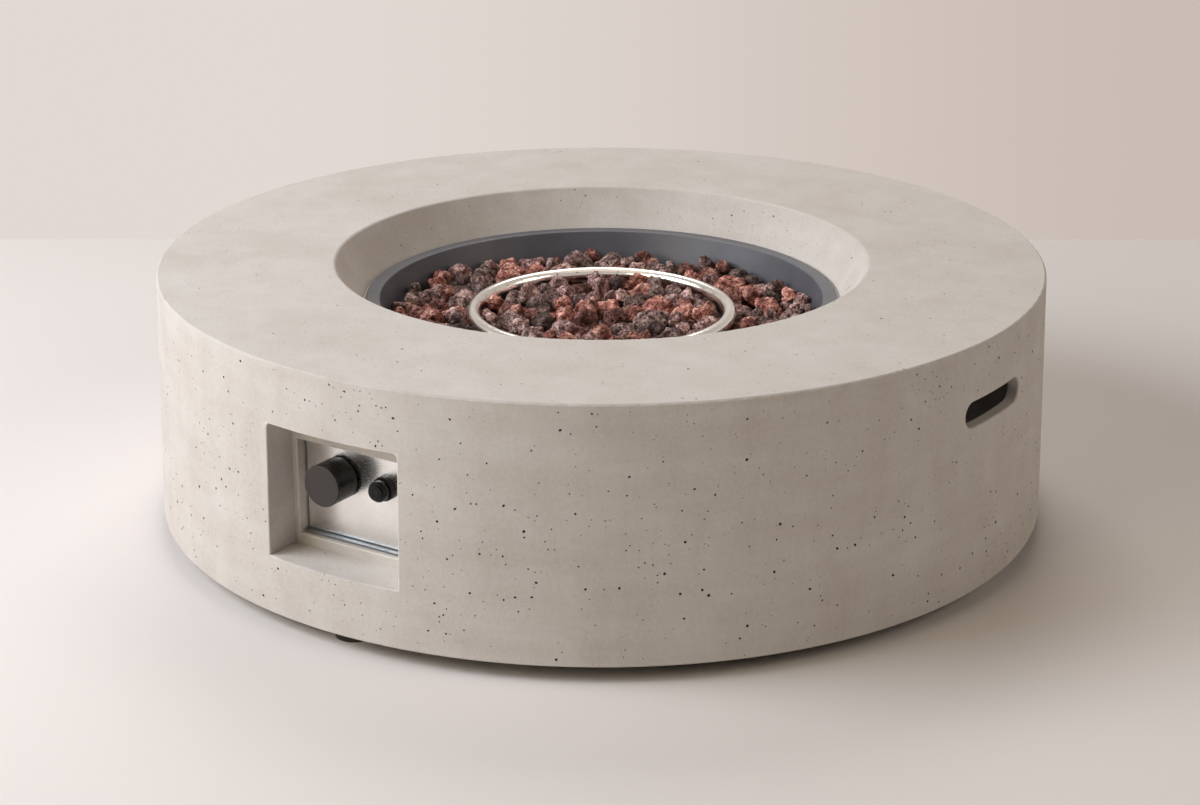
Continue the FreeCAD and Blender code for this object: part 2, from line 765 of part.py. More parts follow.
# Air mixer, shutter and the elbow with the gas orifice
def make_mixer():
    def windows(prefix, radius, low):
        reach = "(%s + 3)" % radius
        along_x = box(prefix + "_window_x", "2 * " + reach, "mixer_slot_width", "mixer_slot_height",
                      ("-" + reach, "-mixer_slot_width / 2", low))
        along_y = box(prefix + "_window_y", "mixer_slot_width", "2 * " + reach, "mixer_slot_height",
                      ("-mixer_slot_width / 2", "-" + reach, low))
        return [along_x, along_y]

    collar_top = "(%s + mixer_collar_rise + mixer_collar_height)" % MIXER_LOW
    window_low = "(%s + (shutter_height - mixer_slot_height) / 2)" % collar_top
    tube = cylinder("mixer_tube", "mixer_radius", "mixer_height", ("0", "0", MIXER_LOW))
    collar = cylinder("mixer_collar_ring", "mixer_collar", "mixer_collar_height",
                      ("0", "0", MIXER_LOW + " + mixer_collar_rise"))
    bore = cylinder("mixer_bore", "feed_radius + fit", "mixer_height",
                    ("0", "0", MIXER_LOW + " + mixer_floor"))
    inlet = cylinder("mixer_inlet", "pipe_thread + fit", "mixer_floor + 2",
                     ("0", "0", MIXER_LOW + " - 1"))
    mixer = cut("mixer_piece", fuse("mixer_raw", [tube, collar]),
                [bore, inlet] + windows("mixer", "mixer_radius", window_low))
    node(mixer, "air_mixer")

    sleeve = cylinder("shutter_sleeve", "mixer_radius + fit + shutter_wall", "shutter_height",
                      ("0", "0", collar_top))
    sleeve_bore = cylinder("shutter_bore", "mixer_radius + fit", "shutter_height + 2",
                           ("0", "0", collar_top + " - 1"))
    tab = box("shutter_tab", "6", "1.6", "shutter_height / 2",
              ("(mixer_radius + fit + shutter_wall) * cos(45) - 0.4",
               "(mixer_radius + fit + shutter_wall) * sin(45) - 1.2",
               collar_top + " + shutter_height / 4"))
    shutter = cut("shutter_piece", fuse("shutter_raw", [sleeve, tab]),
                  [sleeve_bore] + windows("shutter", "mixer_radius", window_low))
    node(shutter, "air_shutter")

    axis = "(%s - elbow_drop)" % MIXER_LOW
    upright = cylinder("elbow_upright", "elbow_body", "elbow_drop + elbow_body",
                       ("0", "0", axis + " - elbow_body"))
    thread = cylinder("elbow_thread", "pipe_thread", "mixer_floor", ("0", "0", MIXER_LOW))
    nozzle = cylinder("elbow_nozzle", "3", "mixer_floor + 6", ("0", "0", MIXER_LOW))
    arm = cylinder("elbow_arm", "elbow_arm_radius", "elbow_reach", ("0", "0", axis), ALONG_FRONT)
    flare = cylinder("elbow_flare", "flare_radius", "flare_length",
                     ("0", "-elbow_reach", axis), ALONG_FRONT)
    arm_bore = cylinder("elbow_arm_bore", "pipe_bore", "elbow_reach + flare_length + 2",
                        ("0", "0", axis), ALONG_FRONT)
    up_bore = cylinder("elbow_up_bore", "elbow_up_bore_radius", "elbow_drop + 2", ("0", "0", axis))
    jet = cylinder("elbow_jet", "0.8", "30", ("0", "0", axis))
    elbow = cut("elbow_piece", fuse("elbow_raw", [upright, thread, nozzle, arm, flare]),
                [arm_bore, up_bore, jet])
    node(elbow, "orifice_elbow")


# Tube along straight runs joined by tangent arcs
def tube_solid(points, radius, name):
    """A round tube through the points. Each arc takes 0.45 of the shorter of its two runs."""
    points = [V(*point) for point in points]
    edges = []
    length = 0.0
    here = points[0]
    radii = []
    for k in range(1, len(points) - 1):
        into = points[k] - points[k - 1]
        out = points[k + 1] - points[k]
        turn = into.getAngle(out)
        back = 0.45 * min(into.Length, out.Length)
        bend = back / math.tan(turn / 2)
        radii.append(round(bend, 1))
        into.normalize()
        out.normalize()
        start = points[k] - into * back
        end = points[k] + out * back
        inward = (out - into)
        inward.normalize()
        centre = points[k] + inward * (bend / math.cos(turn / 2))
        middle = centre - inward * bend
        edges.append(Part.LineSegment(here, start).toShape())
        edges.append(Part.Arc(start, middle, end).toShape())
        length += (start - here).Length + bend * turn
        here = end
    edges.append(Part.LineSegment(here, points[-1]).toShape())
    length += (points[-1] - here).Length
    direction = points[1] - points[0]
    circle = Part.Wire(Part.Circle(points[0], direction, radius).toShape())
    solid = Part.Wire(edges).makePipeShell([circle], True, False)
    expected = math.pi * radius * radius * length
    print("%s: length %.0f mm, arc radii %s, volume ratio %.5f"
          % (name, length, radii, solid.Volume / expected))
    return solid


def shape_node(name, shape):
    """A piece whose shape is made by Part's own functions."""
    feature = doc.addObject("Part::Feature", name)
    feature.Shape = shape
    return node(feature, name)


def height_of_control():
    return size("floor_gap") + size("recess_rise") + size("control_rise")


def panel_front():
    return size("narrow_radius") - size("recess_depth") - size("panel_setback")


def mixer_low():
    return (size("floor_gap") + size("body_height") - size("cross_drop") - size("feed_length")
            + size("mixer_overlap") - size("mixer_height"))


def make_hose():
    knob_x = -size("knob_across")
    outlet_z = height_of_control() - size("outlet_drop")
    from_outlet = (size("valve_back") + size("fitting_hex_length") + 1 + size("hose_nut_length")
                   + size("ferrule_length"))
    start_y = -(panel_front() - from_outlet)
    axis = mixer_low() - size("elbow_drop")
    end_y = -(size("elbow_reach") + 1 + size("hose_nut_length") + size("ferrule_length"))
    route = [(knob_x, start_y, outlet_z), (knob_x, start_y + 44, outlet_z),
             (-22, -240, 118), (-10, -170, 97), (0, end_y - 40, axis), (0, end_y, axis)]
    shape_node("gas_hose", tube_solid(route, size("hose_radius"), "gas_hose"))


def hex_with_bore(prefix, flats, length, bore, at, rotation):
    """A hexagon nut on the line from a point, with its bore right through."""
    bar = prism(prefix + "_bar", flats, length, at, rotation)
    hole = cylinder(prefix + "_hole", bore, length, at, rotation)
    return cut(prefix, bar, [hole])


def make_hose_ends():
    outlet_y = "-(%s - valve_back - fitting_hex_length - 1)" % PANEL_Y
    outlet_z = "%s - outlet_drop" % CONTROL
    elbow_y = "-(elbow_reach + 1)"
    elbow_z = "%s - elbow_drop" % MIXER_LOW
    nuts = [
        hex_with_bore("outlet_nut", "hose_nut_flats", "hose_nut_length", "flare_radius + fit",
                      ("-knob_across", outlet_y, outlet_z), ALONG_BACK),
        hex_with_bore("elbow_nut", "hose_nut_flats", "hose_nut_length", "flare_radius + fit",
                      ("0", elbow_y, elbow_z), ALONG_FRONT)]
    node(group("two_hose_nuts", nuts), "hose_nuts")
    ferrules = [
        cylinder("outlet_ferrule", "ferrule_radius", "ferrule_length",
                 ("-knob_across", outlet_y + " + hose_nut_length", outlet_z), ALONG_BACK),
        cylinder("elbow_ferrule", "ferrule_radius", "ferrule_length",
                 ("0", elbow_y + " - hose_nut_length", elbow_z), ALONG_FRONT)]
    node(group("two_ferrules", ferrules), "hose_ferrules")


# Tray and panel
def make_tray():
    low = "(%s + tray_gap)" % WINDOW_LOW
    high = "(%s - tray_gap)" % WINDOW_HIGH
    half = "(window_half - tray_gap)"
    front = "(%s - sheet)" % PANEL_Y
    back = "(%s - sheet)" % BOSS_Y
    sleeve = block("tray_sleeve", half, back, front, low, high)
    flange = block("tray_flange_plate", "window_half + tray_flange", back, BOSS_Y,
                   WINDOW_LOW + " - tray_flange + 4", WINDOW_HIGH + " + tray_flange - 4")
    lip = block("tray_lip_plate", half, front, front + " + tray_lip", low, low + " + sheet")
    inside = block("tray_inside", half + " - sheet", back + " - 1", front + " - sheet",
                   low + " + sheet", high + " - sheet")
    opening = block("tray_opening", half + " - tray_ledge - sheet", back + " - 2", front + " + 1",
                    low + " + sheet + tray_ledge - 4", high + " - sheet - tray_ledge + 6")
    holes = [cylinder("tray_stud_hole_%d" % k, "stud_radius + 0.2", "sheet + 2",
                      (x, "-(%s - sheet - 1)" % front, z), ALONG_FRONT)
             for k, (x, z) in enumerate(stud_places())]
    screw_holes = [cylinder("tray_screw_hole_%d" % k, "tray_screw + 0.2", "sheet + 2",
                            (x, "-(%s - 1)" % back, z), ALONG_FRONT)
                   for k, (x, z) in enumerate(tray_screw_places())]
    tray = cut("tray_piece", fuse("tray_raw", [sleeve, flange, lip]),
               [inside, opening] + holes + screw_holes)
    node(tray, "panel_tray")

    plugs = []
    screws = []
    for k, (x, z) in enumerate(tray_screw_places()):
        plug = cylinder("plug_tube_%d" % k, "tray_plug", "tray_plug_length",
                        (x, "-" + BOSS_Y, z), ALONG_FRONT)
        bore = cylinder("plug_bore_%d" % k, "tray_screw + fit", "tray_plug_length - 1",
                        (x, "-" + BOSS_Y, z), ALONG_FRONT)
        plugs.append(cut("tray_plug_%d" % k, plug, [bore]))
        shank = cylinder("tray_shank_%d" % k, "tray_screw", "tray_screw_length + 1",
                         (x, "-(%s - 1)" % back, z), ALONG_FRONT)
        head = cylinder("tray_head_%d" % k, "tray_screw_head", "tray_screw_head_height",
                        (x, "-(%s)" % back, z), ALONG_BACK)
        screws.append(fuse("tray_screw_%d" % k, [shank, head]))
    node(group("four_tray_plugs", plugs), "tray_plugs")
    node(group("four_tray_screws", screws), "tray_screws")


def stud_places():
    across = "window_half - panel_side_gap - stud_inset"
    low = WINDOW_LOW + " + tray_gap + sheet + panel_slot + stud_inset - 3"
    high = WINDOW_HIGH + " - panel_top_gap - stud_inset + 3"
    return [(sign + "(" + across + ")", up) for sign in ("-", "") for up in (low, high)]


def make_panel():
    body = new_body("control_panel")
    back = PANEL_Y + " - sheet"
    sketch = new_sketch(body, "panel_outline", "XZ_Plane", back)
    half = "window_half - panel_side_gap"
    rectangle(sketch, "-(%s)" % half, half, WINDOW_LOW + " + tray_gap + sheet + panel_slot",
              WINDOW_HIGH + " - panel_top_gap")
    pad(body, "panel_plate", sketch, "sheet")
    sketch = new_sketch(body, "control_holes_outline", "XZ_Plane", PANEL_Y + " + 1")
    ring_line(sketch, "-knob_across", CONTROL, "neck_radius + neck_gap")
    ring_line(sketch, "igniter_across", CONTROL, "housing_radius + housing_gap")
    pocket(body, "control_holes", sketch, "sheet + 2")
    sketch = new_sketch(body, "stud_outline", "XZ_Plane", back)
    for x, z in stud_places():
        ring_line(sketch, x, z, "stud_radius")
    pad(body, "studs", sketch, "stud_length", reverse=True)
    node(body, "control_panel")
    nuts = [hex_with_bore("stud_nut_%d" % k, "stud_nut_flats", "stud_nut_height", "stud_radius + fit",
                          (x, "-(%s - 2 * sheet)" % PANEL_Y, z), ALONG_BACK)
            for k, (x, z) in enumerate(stud_places())]
    node(group("four_stud_nuts", nuts), "panel_nuts")


# Pieces on the knob's and the igniter's axes. Their own z is the distance in front of the panel.
def on_axis(thing, across):
    """Turns a piece whose own z runs outwards so that it stands on the panel's front face."""
    place(thing, (across, "-" + PANEL_Y, CONTROL), ALONG_FRONT)
    return thing


def flat_rod(name, radius, flat, length, low):
    """A rod along z with one flat, for a stem or for the bore that takes it."""
    rod = cylinder(name + "_rod", radius, length, ("0", "0", low))
    keep = box(name + "_keep", "4 * (%s)" % radius, "2 * (%s) + %s" % (radius, flat), length,
               ("-2 * (%s)" % radius, "-2 * (%s)" % radius, low))
    thing = doc.addObject("Part::Common", name)
    thing.Base = rod
    thing.Tool = keep
    return thing


def make_knob():
    front = "(knob_gap + knob_length)"
    inner = "(knob_radius - knob_skin)"
    hub_low = "(knob_gap + knob_hub_recess)"
    turned = profile_body("knob_shell", [
        ("0", front), ("knob_radius", front), ("knob_radius", "knob_gap"), (inner, "knob_gap"),
        (inner, front + " - knob_face"), ("knob_hub", front + " - knob_face"),
        ("knob_hub", hub_low), ("0", hub_low)])
    length = size("knob_gap") + size("knob_length")
    round_edges(turned, "knob_edges", "knob_edge",
                lambda edge: is_circle_at(edge, size("knob_radius"), length))
    bore = flat_rod("knob_bore", "stem_radius + fit", "stem_flat + fit",
                    "stem_front + 0.5 - %s + 1" % hub_low, hub_low + " - 1")
    clip_seat = cylinder("knob_clip_seat", "knob_hub + 1", "6", ("0", "0", hub_low + " + 4"))
    clip_keep = cylinder("knob_clip_keep", "knob_hub - 1", "6", ("0", "0", hub_low + " + 4"))
    groove = cut("knob_groove", clip_seat, [clip_keep])
    knob = cut("knob_piece", turned, [bore, groove])
    node(on_axis(knob, "-knob_across"), "control_knob")

    ring = cylinder("clip_ring", "knob_hub + 0.2", "5", ("0", "0", hub_low + " + 4.5"))
    hole = cylinder("clip_hole", "knob_hub - 0.95", "7", ("0", "0", hub_low + " + 3.5"))
    gap = box("clip_gap", "12", "5", "7", ("0", "-2.5", hub_low + " + 3.5"))
    clip = cut("clip_piece", ring, [hole, gap])
    node(on_axis(clip, "-knob_across"), "knob_clip")


def make_valve():
    # stem: a rod with a flat, and the collar that its spring pushes on
    rod = flat_rod("stem_rod", "stem_radius", "stem_flat", "stem_front + stem_tail", "-stem_tail")
    neck_part = cylinder("stem_round", "stem_radius", "neck_front + spring_room_front",
                         ("0", "0", "-spring_room_front"))
    collar = cylinder("stem_collar_disc", "stem_collar", "stem_collar_height",
                      ("0", "0", "-(spring_room_front + 0.3 + stem_collar_height)"))
    stem = fuse("stem_piece", [rod, neck_part, collar])
    node(on_axis(stem, "-knob_across"), "valve_stem")

    # plug: a taper with the stem's drive slot and the pin's hole
    taper = cone("plug_taper", "plug_back_radius", "plug_front_radius", "plug_length",
                 ("0", "0", "-(plug_front + plug_length)"))
    drive = flat_rod("plug_drive", "stem_radius + fit", "stem_flat + fit",
                     "stem_tail + knob_push_travel + 0.5 - plug_front + 1",
                     "-(stem_tail + knob_push_travel + 0.5)")
    pin_hole = cylinder("plug_pin_hole", "pin_radius + fit", "plug_length + 2",
                        ("0", "0", "-(plug_front + plug_length + 1)"))
    gas_way = cylinder("plug_gas_way", "3", "plug_front_radius + 2",
                       ("0", "0", "-inlet_back"), ALONG_BACK)
    plug = cut("plug_piece", taper, [drive, pin_hole, gas_way])
    node(on_axis(plug, "-knob_across"), "valve_plug")

    pin_corners = [("0", "-(stem_tail + 0.1)"), ("pin_radius - 0.3", "-(stem_tail + 0.1)"),
                   ("pin_radius", "-(stem_tail + 0.4)"), ("pin_radius", "-(pin_back - 0.3)"),
                   ("pin_radius - 0.3", "-pin_back"), ("0", "-pin_back")]
    node(on_axis(profile_body("pin_rod", pin_corners), "-knob_across"), "push_pin")

    # body: block, neck, and the rooms for spring, plug and magnet
    main = box("valve_block", "2 * valve_half", "valve_up + valve_down", "valve_back - sheet",
               ("-valve_half", "-valve_down", "-valve_back"))
    neck = cylinder("valve_neck", "neck_radius", "neck_front + 6", ("0", "0", "-6"))
    neck_bore = cylinder("neck_bore", "stem_radius + fit", "neck_front + spring_room_front + 2",
                         ("0", "0", "-(spring_room_front + 1)"))
    room = cylinder("spring_room_bore", "spring_room", "plug_front - spring_room_front",
                    ("0", "0", "-plug_front"))
    seat = cone("plug_seat", "plug_back_radius + fit", "plug_front_radius + fit", "plug_length",
                ("0", "0", "-(plug_front + plug_length)"))
    magnet_bore = cylinder("magnet_bore", "magnet_room", "valve_back - plug_front - plug_length + 1",
                           ("0", "0", "-(valve_back + 1)"))
    inlet = cylinder("inlet_bore", "pipe_bore", "valve_down", ("0", "0", "-inlet_back"), ALONG_FRONT)
    inlet_thread = cylinder("inlet_thread_bore", "pipe_thread + fit", "fitting_thread + 1",
                            ("0", "-(valve_down - fitting_thread)", "-inlet_back"), ALONG_FRONT)
    riser = cylinder("outlet_riser", "pipe_bore", "outlet_drop",
                     ("0", "0", "-(valve_back - 12)"), ALONG_FRONT)
    outlet_thread = cylinder("outlet_thread_bore", "pipe_thread + fit", "fitting_thread + 1",
                             ("0", "-outlet_drop", "-(valve_back + 1)"))
    outlet = cylinder("outlet_bore", "pipe_bore", "14", ("0", "-outlet_drop", "-valve_back"))
    body = cut("valve_piece", fuse("valve_raw", [main, neck]),
               [neck_bore, room, seat, magnet_bore, inlet, inlet_thread, riser, outlet_thread, outlet])
    node(on_axis(body, "-knob_across"), "valve_body")

    nut_bar = prism("valve_nut_bar", "valve_nut_flats", "valve_nut_height", ("0", "0", "0"))
    nut_bore = cylinder("valve_nut_bore", "neck_radius + fit", "valve_nut_height + 2",
                        ("0", "0", "-1"))
    node(on_axis(cut("valve_nut_piece", nut_bar, [nut_bore]), "-knob_across"), "valve_nut")

    # magnet cartridge with its hexagon head outside the block
    cartridge = cylinder("magnet_cartridge", "magnet_room - fit", "valve_back - magnet_front",
                         ("0", "0", "-valve_back"))
    head = prism("magnet_hex", "2 * magnet_head", "magnet_head_length",
                 ("0", "0", "-(valve_back + magnet_head_length)"))
    socket = cylinder("magnet_socket", "5", "magnet_back - valve_back - magnet_head_length + 1",
                      ("0", "0", "-magnet_back"))
    armature = cylinder("magnet_armature", "5", "2.5", ("0", "0", "-(magnet_front + 0.5)"))
    magnet = fuse("magnet_piece", [cartridge, head, socket, armature])
    node(on_axis(magnet, "-knob_across"), "safety_magnet")

    # brass fittings, each screwed into the block
    hexagon = prism("inlet_hex", "hose_nut_flats", "fitting_hex_length",
                    ("0", "-(valve_down + fitting_hex_length)", "-inlet_back"), ALONG_BACK)
    thread = cylinder("inlet_screw", "pipe_thread", "fitting_thread",
                      ("0", "-valve_down", "-inlet_back"), ALONG_BACK)
    flare = cylinder("inlet_flare", "flare_radius", "flare_length - 4",
                     ("0", "-(valve_down + fitting_hex_length)", "-inlet_back"), ALONG_FRONT)
    tip = cone("inlet_tip", "flare_radius", "flare_radius - 2.4", "4",
               ("0", "-(valve_down + fitting_hex_length + flare_length - 4)", "-inlet_back"),
               ALONG_FRONT)
    bore = cylinder("inlet_fitting_bore", "pipe_bore", "60",
                    ("0", "-(valve_down - fitting_thread - 1)", "-inlet_back"), ALONG_FRONT)
    inlet_fit = cut("inlet_piece", fuse("inlet_raw", [hexagon, thread, flare, tip]), [bore])
    node(on_axis(inlet_fit, "-knob_across"), "gas_inlet_fitting")

    hexagon = prism("outlet_hex", "hose_nut_flats", "fitting_hex_length",
                    ("0", "-outlet_drop", "-(valve_back + fitting_hex_length)"))
    thread = cylinder("outlet_screw", "pipe_thread", "fitting_thread",
                      ("0", "-outlet_drop", "-valve_back"))
    flare = cylinder("outlet_flare", "flare_radius", "flare_length",
                     ("0", "-outlet_drop", "-(valve_back + fitting_hex_length + flare_length)"))
    bore = cylinder("outlet_fitting_bore", "pipe_bore", "60", ("0", "-outlet_drop",
                    "-(valve_back + fitting_hex_length + flare_length + 1)"))
    outlet_fit = cut("outlet_piece", fuse("outlet_raw", [hexagon, thread, flare]), [bore])
    node(on_axis(outlet_fit, "-knob_across"), "outlet_fitting")


def spring_solid(length, radius, wire, turns):
    """A spring along z as one coiled wire from z = 0."""
    helix = Part.makeHelix(length / turns, length, radius)
    start = V(radius, 0, 0)
    pitch = length / turns
    tangent = V(0, 2 * math.pi * radius, pitch)
    circle = Part.Wire(Part.Circle(start, tangent, wire).toShape())
    return Part.Wire(helix).makePipeShell([circle], True, True)


def make_springs():
    turned = FreeCAD.Rotation(V(1, 0, 0), 90)
    wire = size("spring_wire")
    collar_back = size("spring_room_front") + 0.3 + size("stem_collar_height")
    length = size("plug_front") - collar_back - 2 * wire - 0.2
    spring = shape_node("valve_spring", spring_solid(length, size("spring_radius"), wire, 6))
    depth = size("plug_front") - wire - 0.1
    spring.Placement = FreeCAD.Placement(
        V(-size("knob_across"), -(panel_front() - depth), height_of_control()), turned)
    length = size("battery_front") - size("battery_tip_height") - size("button_stem_back")
    length = length - 2 * wire - 0.2
    spring = shape_node("igniter_spring", spring_solid(length, size("igniter_spring_radius"), wire, 5))
    depth = size("battery_front") - size("battery_tip_height") - wire - 0.1
    spring.Placement = FreeCAD.Placement(
        V(size("igniter_across"), -(panel_front() - depth), height_of_control()), turned)


def make_igniter():
    across = "igniter_across"
    rib = "collar_radius - collar_rib"
    collar_corners = [("housing_radius + fit", "0"), ("collar_radius", "0"),
                      ("collar_radius", "collar_length * 0.30"), (rib, "collar_length * 0.38"),
                      ("collar_radius", "collar_length * 0.46"),
                      ("collar_radius", "collar_length * 0.72"), (rib, "collar_length * 0.80"),
                      ("collar_radius - 0.3", "collar_length * 0.88"),
                      ("collar_radius - 1.4", "collar_length"),
                      ("housing_radius + fit", "collar_length")]
    node(on_axis(profile_body("igniter_collar_ring", collar_corners), across), "igniter_collar")

    back = "collar_length + button_gap"
    front = "collar_length + button_gap + button_length"
    button_corners = [
        ("0", front + " - 1.2"), ("3.2", front + " - 1.0"), ("3.6", front + " - 0.4"),
        ("5.4", front + " - 0.4"), ("5.8", front + " - 1.0"), ("7.0", front + " - 1.2"),
        ("7.4", front + " - 0.8"), ("8.8", front + " - 1.2"), ("9.3", front + " - 2.4"),
        ("9.3", front + " - 3.6"), ("button_radius - 1.0", front + " - 3.8"),
        ("button_radius - 0.2", front + " - 5.0"), ("button_radius", front + " - 6.5"),
        ("button_radius", back), ("housing_bore - 0.1", back),
        ("housing_bore - 0.1", "-button_stem_back"), ("0", "-button_stem_back")]
    node(on_axis(profile_body("igniter_button_cap", button_corners), across), "igniter_button")

    housing_corners = [
        ("housing_bore", "housing_front"), ("housing_radius", "housing_front"),
        ("housing_radius", "-housing_back"), ("housing_bore", "-housing_back")]
    node(on_axis(profile_body("igniter_tube", housing_corners), across), "igniter_housing")

    nut = hex_with_bore("igniter_nut_piece", "igniter_nut_flats", "igniter_nut_height",
                        "housing_radius + fit", ("0", "0", "-(sheet + igniter_nut_height)"), None)
    node(on_axis(nut, across), "igniter_nut")

    battery_corners = [
        ("0", "-(battery_front - battery_tip_height)"),
        ("battery_tip", "-(battery_front - battery_tip_height)"), ("battery_tip", "-battery_front"),
        ("battery_radius", "-battery_front"), ("battery_radius", "-(battery_front + battery_length)"),
        ("0", "-(battery_front + battery_length)")]
    node(on_axis(profile_body("igniter_cell", battery_corners), across), "igniter_battery")

    cap = cylinder("end_cap_disc", "housing_radius", "end_cap_length",
                   ("0", "0", "-(housing_back + end_cap_length)"))
    spigot = cylinder("end_cap_spigot", "housing_bore - 0.1",
                      "housing_back - battery_front - battery_length - 0.2", ("0", "0", "-housing_back"))
    node(on_axis(fuse("end_cap_piece", [cap, spigot]), across), "igniter_end_cap")


# Electrode and thermocouple on the pan floor, with their leads
def make_probes():
    (spark_x, spark_y), (couple_x, couple_y) = probe_places()
    body = cylinder("insulator_rod", "insulator_radius", "insulator_low + insulator_high",
                    (spark_x, spark_y, PAN_FLOOR + " - insulator_low"))
    wire_bore = cylinder("insulator_bore", "electrode_wire + fit", "insulator_low + insulator_high + 2",
                         (spark_x, spark_y, PAN_FLOOR + " - insulator_low - 1"))
    node(cut("insulator_piece", body, [wire_bore]), "electrode_insulator")
    node(cylinder("electrode_rod", "electrode_wire", "insulator_low + electrode_high",
                  (spark_x, spark_y, PAN_FLOOR + " - insulator_low")), "electrode_tip")
    shaft = cylinder("couple_rod", "couple_radius", "insulator_low + couple_high",
                     (couple_x, couple_y, PAN_FLOOR + " - insulator_low"))
    sleeve = cylinder("couple_sleeve", "insulator_radius", "insulator_low + bracket_tube_height",
                      (couple_x, couple_y, PAN_FLOOR + " - insulator_low"))
    node(fuse("couple_piece", [shaft, sleeve]), "thermocouple")

    brackets = []
    screws = []
    inner = probe_places("bracket_length - 2 * bracket_half")
    for k, (x, y) in enumerate(probe_places()):
        x_in, y_in = inner[k]
        plate_out = cylinder("bracket_end_out_%d" % k, "bracket_half", "bracket_plate",
                             (x, y, PAN_FLOOR))
        plate_in = cylinder("bracket_end_in_%d" % k, "bracket_half", "bracket_plate",
                            (x_in, y_in, PAN_FLOOR))
        tube = cylinder("bracket_tube_%d" % k, "insulator_radius + bracket_tube_wall",
                        "bracket_tube_height", (x, y, PAN_FLOOR))
        bore = cylinder("bracket_bore_%d" % k, "insulator_radius + fit", "bracket_tube_height + 2",
                        (x, y, PAN_FLOOR + " - 1"))
        hole = cylinder("bracket_hole_%d" % k, "bracket_screw + 0.2", "bracket_plate + 2",
                        (x_in, y_in, PAN_FLOOR + " - 1"))
        raw = fuse("bracket_raw_%d" % k, [plate_out, plate_in, tube])
        brackets.append(cut("bracket_%d" % k, raw, [bore, hole]))
        shank = cylinder("bracket_shank_%d" % k, "bracket_screw", "bracket_screw_length",
                         (x_in, y_in, PAN_FLOOR + " + bracket_plate + 0.5 - bracket_screw_length"))
        head = cylinder("bracket_head_%d" % k, "bracket_screw_head", "bracket_screw_head_height",
                        (x_in, y_in, PAN_FLOOR + " + bracket_plate"))
        screws.append(fuse("bracket_screw_%d" % k, [shank, head]))
    node(group("two_brackets", brackets), "probe_brackets")
    node(group("two_bracket_screws", screws), "bracket_screws")


def probe_point(sign):
    angle = math.radians(size("probe_angle"))
    reach = size("probe_circle")
    floor = size("floor_gap") + size("body_height") - size("ledge_depth") - size("pan_depth")
    return sign * reach * math.sin(angle), -reach * math.cos(angle), floor - size("insulator_low")


def make_leads():
    control = height_of_control()
    x, y, low = probe_point(1)
    back = -(panel_front() - size("housing_back") - size("end_cap_length"))
    across = size("igniter_across")
    route = [(across, back, control), (across, back + 36, control), (38, -292, 150),
             (52, -232, 140), (x - 3, -170, 137), (x - 1, y - 26, 142), (x, y - 4, 160), (x, y, low)]
    shape_node("ignition_lead", tube_solid(route, size("spark_lead_radius"), "ignition_lead"))

    x, y, low = probe_point(-1)
    back = -(panel_front() - size("magnet_back"))
    across = -size("knob_across")
    route = [(across, back, control), (across, back + 34, control), (-44, -285, 166),
             (-58, -225, 158), (x, -172, 152), (x - 1, y - 24, 152), (x, y - 5, 166), (x, y, low)]
    shape_node("thermocouple_lead", tube_solid(route, size("couple_lead_radius"), "thermocouple_lead"))


# Lava rock
def convex_solid(points):
    """The convex solid on a few points, from the triangles that have all the others behind them."""
    faces = []
    count = len(points)
    middle = sum(points, V(0, 0, 0)) * (1.0 / count)
    for i in range(count):
        for j in range(i + 1, count):
            for k in range(j + 1, count):
                normal = (points[j] - points[i]).cross(points[k] - points[i])
                if normal.Length < 1e-9:
                    continue
                if (middle - points[i]).dot(normal) > 0:
                    normal = normal * -1.0
                if all((point - points[i]).dot(normal) < 1e-7 for point in points):
                    faces.append(Part.Face(Part.makePolygon([points[i], points[j], points[k], points[i]])))
    solid = Part.Solid(Part.Shell(faces))
    if solid.Volume < 0:
        solid.reverse()
    return solid


def rock_corners(chance, centre, radius, planes, touching):
    """Uneven points inside a rock's sphere, drawn in until they lie behind every plane."""
    count = 14
    spin = chance.uniform(0, 2 * math.pi)
    directions = []
    for k in range(count):
        up = 1 - 2 * (k + 0.5) / count + chance.uniform(-0.08, 0.08)
        turn = spin + k * math.pi * (3 - math.sqrt(5)) + chance.uniform(-0.3, 0.3)
        level = math.sqrt(max(0.0, 1 - up * up))
        directions.append((V(level * math.cos(turn), level * math.sin(turn), up),
                           radius * chance.uniform(0.88, 1.0)))
    directions = [(direction, radius) for direction in touching] + directions
    corners = []
    for direction, reach in directions:
        for normal, room in planes:
            facing = direction.dot(normal)
            if facing > 0 and reach * facing > room:
                reach = room / facing
                if facing < 0.9999:
                    reach *= chance.uniform(0.965, 0.995)
        corner = centre + direction * reach
        if all((corner - other).Length > 2 for other in corners):
            corners.append(corner)
    return corners


